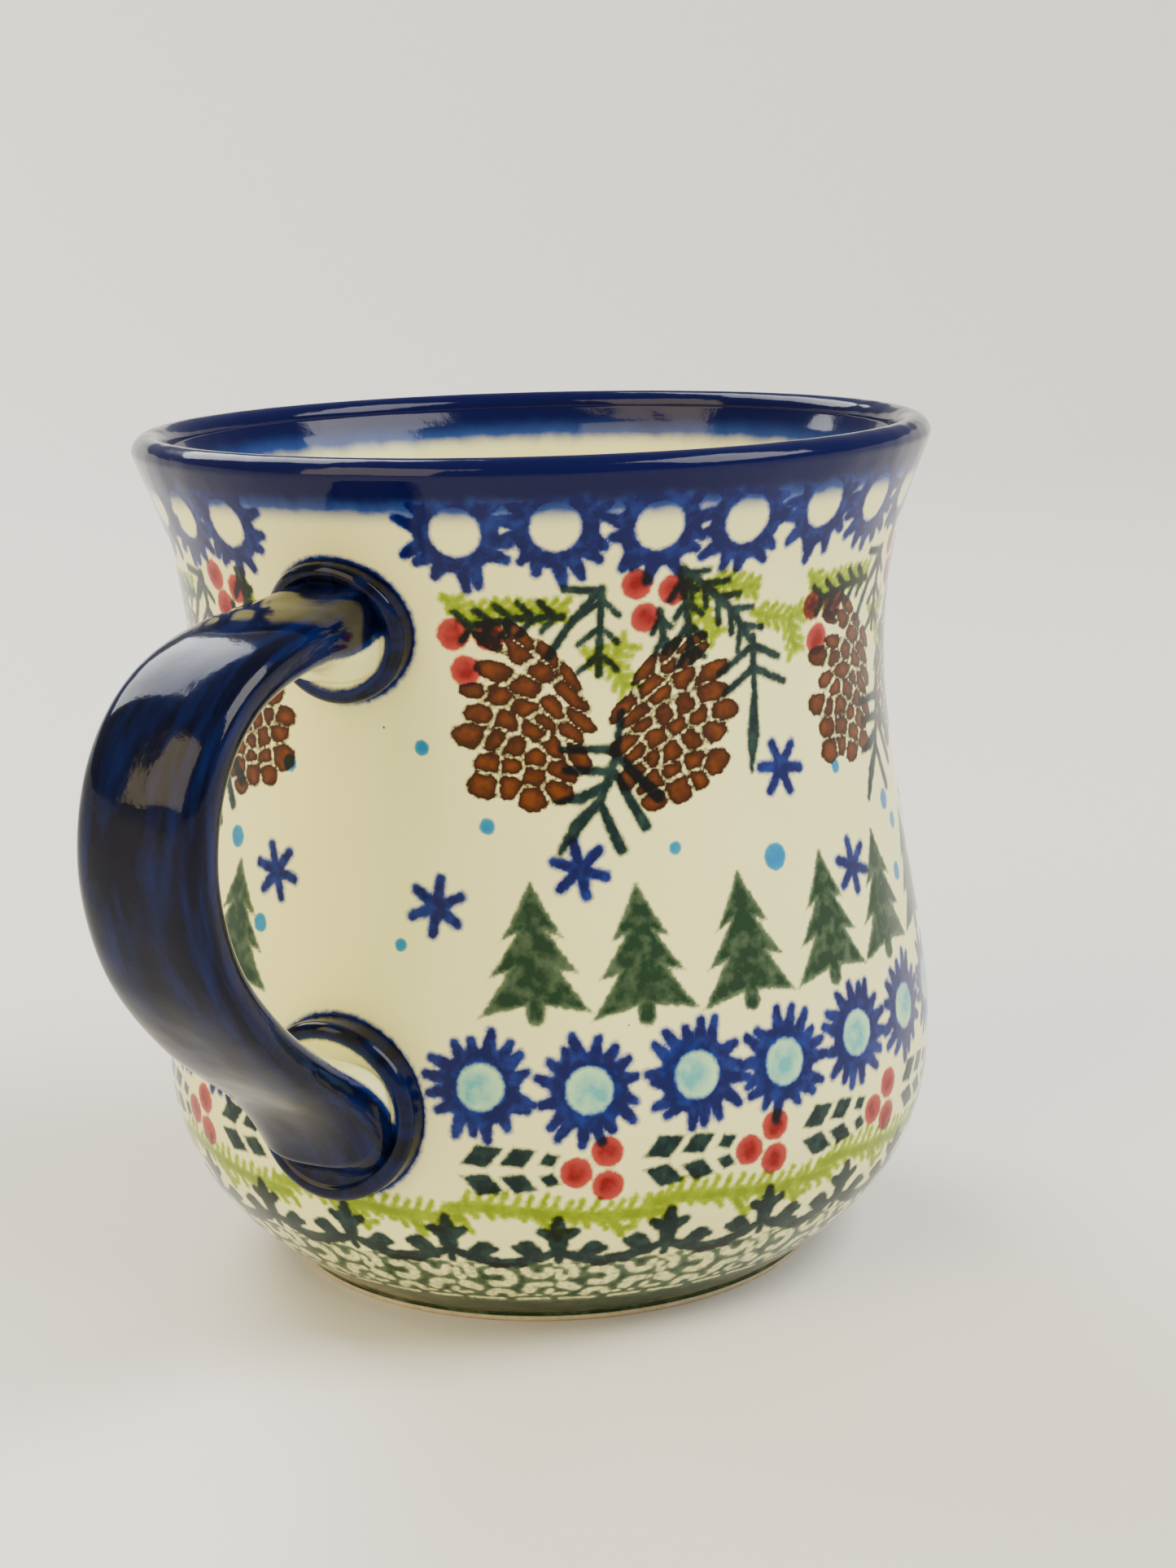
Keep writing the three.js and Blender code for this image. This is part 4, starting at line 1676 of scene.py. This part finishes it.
    def trimmed(self, reach: Field, side: Field, level: Field, *others: Field) -> list[Field]:
        """The strap's grids, with each long line cut where it is deep enough in the wall.

        Args:
            reach: distances out from the cup's axis.
            side: distances to the side.
            level: heights.
            others: more values on the same grid.

        Returns:
            All the grids, spread again over the length that is left.
        """
        wall = self.cup.wall
        depth = np.interp(level, wall[:, 1], wall[:, 0]) - np.hypot(reach, side)
        sunk = depth > self.root_sink
        half = len(sunk) // 2
        first = sunk[:half].sum(axis=0)
        last = len(sunk) - 1 - sunk[half:].sum(axis=0)
        row = first + (last - first) * np.linspace(0, 1, len(sunk))[:, None]
        low = np.minimum(row.astype(int), len(sunk) - 2)
        share = row - low
        return [
            np.take_along_axis(grid, low, 0) * (1 - share)
            + np.take_along_axis(grid, low + 1, 0) * share
            for grid in (reach, side, level, *others)
        ]

    def collar_profile(self) -> tuple[Field, Field]:
        """A collar's section: distances in from its edge, and heights over the wall.

        It goes up the side, over a round top and down into a groove, whose floor rises
        a little on its way in under the strap.
        """
        bead = self.collar_bead
        turn = np.linspace(0, math.pi * self.collar_turn, 20)
        crest = bead - bead * np.cos(turn)
        inner = np.linspace(crest[-1], crest[-1] + self.collar_shelf, 16)[1:]
        fall = 1 - math.sin(turn[-1])
        dip = smooth_step(inner, crest[-1], crest[-1] + 0.5) * fall * self.collar_dip
        rise = smooth_step(inner, crest[-1] + 0.4, crest[-1] + self.collar_shelf)
        floor = self.collar_proud - bead * fall - dip + self.collar_rise * rise
        top = self.collar_proud - bead + bead * np.sin(turn)
        inwards = np.concatenate([[-0.25, -0.1, 0], crest, inner])
        return inwards, np.concatenate([[-self.collar_sink, -0.6, 0.5], top, floor])

    def build_collar(self, name: str, node: str, root: Root, neighbour: int) -> None:
        """A collar: its section carried round an oval edge on the wall.

        Args:
            name: the piece's name.
            node: the solid that it stands for.
            root: the root that it goes round.
            neighbour: the number of the strap's station next to the root.
        """
        rise, clearance = self.stations[neighbour]
        near = self.lower.height + (self.upper.height - self.lower.height) * rise
        base = self.wall_radius(root.height)
        slope = (near - root.height) / (self.wall_radius(near) + clearance - base)
        height = root.height + slope * self.collar_proud / 2
        half_height = root.thickness / 2 * math.hypot(1, slope) + self.collar_border
        half_width = root.width / 2 + self.collar_border
        above, below = height + half_height / 2, height - half_height / 2
        tilt = math.atan2(self.wall_radius(above) - self.wall_radius(below), half_height)
        inwards, rises = self.collar_profile()
        share = np.arange(self.collar_columns + 1) / self.collar_columns
        angle = 2 * math.pi * share[:-1]
        wide = (half_width - inwards)[:, None] * np.cos(angle)[None, :]
        tall = (half_height - inwards)[:, None] * np.sin(angle)[None, :]
        out = rises[:, None] - wide**2 / (2 * base)
        x = self.wall_radius(height) + out * math.cos(tilt) + tall * math.sin(tilt)
        z = height + tall * math.cos(tilt) - out * math.sin(tilt)
        points = np.stack([self.cup.axis - x * MM, wide * MM, z * MM], -1)
        measures = np.cumsum(np.hypot(np.gradient(inwards), np.gradient(rises)))
        wrap = np.stack(np.broadcast_arrays(share[None, :], measures[:, None]), -1)
        towards_strap = -6.0 if root is self.upper else 6.0
        bare = inwards[:, None] - self.collar_paint * self.collar_bead
        bare = np.minimum(bare, np.sin(angle)[None, :] * towards_strap)
        layers = {Pigment.COBALT.value: np.clip(bare, -2.2, FAR)}
        made = skin_mesh(name, points, wrap, layers)
        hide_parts(node)
        self.pieces.append(made)
        edge = oval(half_width + self.collar_bleed, half_height + self.collar_bleed)
        place = self.cup.measure_at(height)
        self.cup.canvas.paint(Pigment.COBALT, 0.0, place, half_height + 3, edge)

    def build(self, glaze: bpy.types.Material) -> None:
        """Makes and dresses the strap and both collars."""
        self.build_strap()
        self.build_collar("collar_bead_upper", "upper_handle_collar", self.upper, 0)
        self.build_collar("collar_bead_lower", "lower_handle_collar", self.lower, -1)
        for piece in self.pieces:
            piece.data.materials.append(glaze)
            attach(piece, "root")
            log.info("%s: %d faces", piece.name, len(piece.data.polygons))


# --- The studio -----------------------------------------------------------------------------


@dataclass(frozen=True)
class SoftLight:
    """A square soft light: where it stands, how big it is, its power and its warmth."""

    name: str
    place: tuple[float, float, float]
    size: float
    power: float
    tint: tuple[float, float, float] = (1.0, 1.0, 1.0)


@dataclass(frozen=True)
class Studio:
    """A pale floor that curves up all round, soft lights and the camera."""

    floor_radius: float = 0.9
    wall_radius: float = 0.6
    floor_tint: str = "eceae4"
    floor_roughness: float = 0.45
    floor_rows: int = 24
    floor_columns: int = 96
    room_tint: str = "eef0f2"
    room_strength: float = 0.42
    lights: tuple[SoftLight, ...] = (
        SoftLight("key_light", (0.2, -0.85, 1.05), 0.8, 25.0, (1.0, 0.98, 0.93)),
        SoftLight("left_light", (-1.0, 0.35, 0.8), 0.9, 17.5, (1.0, 0.8, 0.42)),
        SoftLight("rear_light", (0.4, 0.9, 1.0), 0.8, 19.0, (0.97, 0.99, 1.0)),
    )
    camera_offset: tuple[float, float, float] = (-262.1, -151.3, 120.0)
    camera_yaw: float = 1.008
    camera_pitch: float = 12.491
    camera_roll: float = -1.494
    camera_side: float = -60.0
    lens: float = 61.54

    def build(self, axis: float) -> None:
        """Makes the floor, the lights, the world and the camera.

        Args:
            axis: the cup axis's place along X.
        """
        self.build_floor()
        for light in self.lights:
            self.build_light(light)
        world = bpy.data.worlds.new("soft_room")
        world.use_nodes = True
        air = world.node_tree.nodes["Background"].inputs
        air["Color"].default_value = colour(self.room_tint)
        air["Strength"].default_value = self.room_strength
        bpy.context.scene.world = world
        self.build_camera(axis)

    def build_floor(self) -> None:
        """A flat disc that curves up into a low wall: rings of growing radius and height."""
        count = self.floor_columns
        flat = np.linspace(0.02, self.floor_radius, self.floor_rows)
        bend = np.linspace(0, math.pi / 2 * 0.8, self.floor_rows)[1:]
        radius = np.concatenate([flat, self.floor_radius + self.wall_radius * np.sin(bend)])
        height = np.concatenate([flat * 0, self.wall_radius * (1 - np.cos(bend))])
        angle = 2 * math.pi * np.arange(count) / count
        grid = [radius[:, None] * np.cos(angle), radius[:, None] * np.sin(angle)]
        points = np.stack([*grid, height[:, None] + 0 * grid[0]], -1)
        rows = len(radius)
        index = np.arange(rows * count).reshape(rows, count)
        beside = np.roll(index, -1, axis=1)
        quads = np.stack([index[:-1], index[1:], beside[1:], beside[:-1]], -1).reshape(-1, 4)
        mesh = bpy.data.meshes.new("pale_floor")
        mesh.from_pydata(
            points.reshape(-1, 3).tolist(), [], [*quads.tolist(), index[0].tolist()]
        )
        mesh.polygons.foreach_set("use_smooth", np.ones(len(mesh.polygons), bool))
        floor = bpy.data.objects.new("pale_floor", mesh)
        bpy.context.scene.collection.objects.link(floor)
        material, _, shader = new_material("pale_floor")
        shader.inputs["Base Color"].default_value = colour(self.floor_tint)
        shader.inputs["Roughness"].default_value = self.floor_roughness
        mesh.materials.append(material)

    @staticmethod
    def build_light(light: SoftLight) -> None:
        """One soft light, aimed at the middle of the mug."""
        lamp = bpy.data.lights.new(light.name, "AREA")
        lamp.shape = "SQUARE"
        lamp.size = light.size
        lamp.energy = light.power
        lamp.color = light.tint
        made = bpy.data.objects.new(light.name, lamp)
        made.location = light.place
        aim = Vector((0, 0, 0.05)) - Vector(light.place)
        made.rotation_euler = aim.to_track_quat("-Z", "Y").to_euler()
        bpy.context.scene.collection.objects.link(made)

    def build_camera(self, axis: float) -> None:
        """The camera: yaw, pitch and roll are turned about the cup by camera_side."""
        yaw, pitch = math.radians(self.camera_yaw), math.radians(self.camera_pitch)
        look = Vector(
            (
                math.sin(yaw) * math.cos(pitch),
                math.cos(yaw) * math.cos(pitch),
                -math.sin(pitch),
            )
        )
        look.rotate(Matrix.Rotation(math.radians(self.camera_side), 3, "Z"))
        right = look.cross(Vector((0, 0, 1))).normalized()
        up = right.cross(look)
        roll = math.radians(self.camera_roll)
        side = right * math.cos(roll) + up * math.sin(roll)
        top = up * math.cos(roll) - right * math.sin(roll)
        turn = Matrix((side, top, -look)).transposed().to_4x4()
        lens = bpy.data.cameras.new("camera")
        lens.lens = self.lens
        lens.sensor_width = 36.0
        lens.clip_start = 0.01
        camera = bpy.data.objects.new("camera", lens)
        place = Vector(self.camera_offset) * MM + Vector((axis, 0, 0))
        camera.matrix_world = Matrix.Translation(place) @ turn
        bpy.context.scene.collection.objects.link(camera)
        bpy.context.scene.camera = camera


# --- The mug --------------------------------------------------------------------------------


def main() -> None:
    """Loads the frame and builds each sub-assembly in order."""
    logging.basicConfig(level=logging.INFO, format="%(name)s: %(message)s")
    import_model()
    low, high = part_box("cup_body")
    axis = (low.x + high.x) / 2
    effects = SharedEffects.make()
    cup = Cup(axis=axis)
    WinterPattern().paint_all(cup.canvas)
    handle = Handle(cup=cup)
    handle.build(HandleGlaze(effects, specks=0.35).material())
    cup.build(DecoratedGlaze(effects).material(), FootClay(effects).material())
    Studio().build(axis)
    log.info("built %d pieces", len(cup.pieces) + len(handle.pieces))


if __name__ == "__main__":
    main()
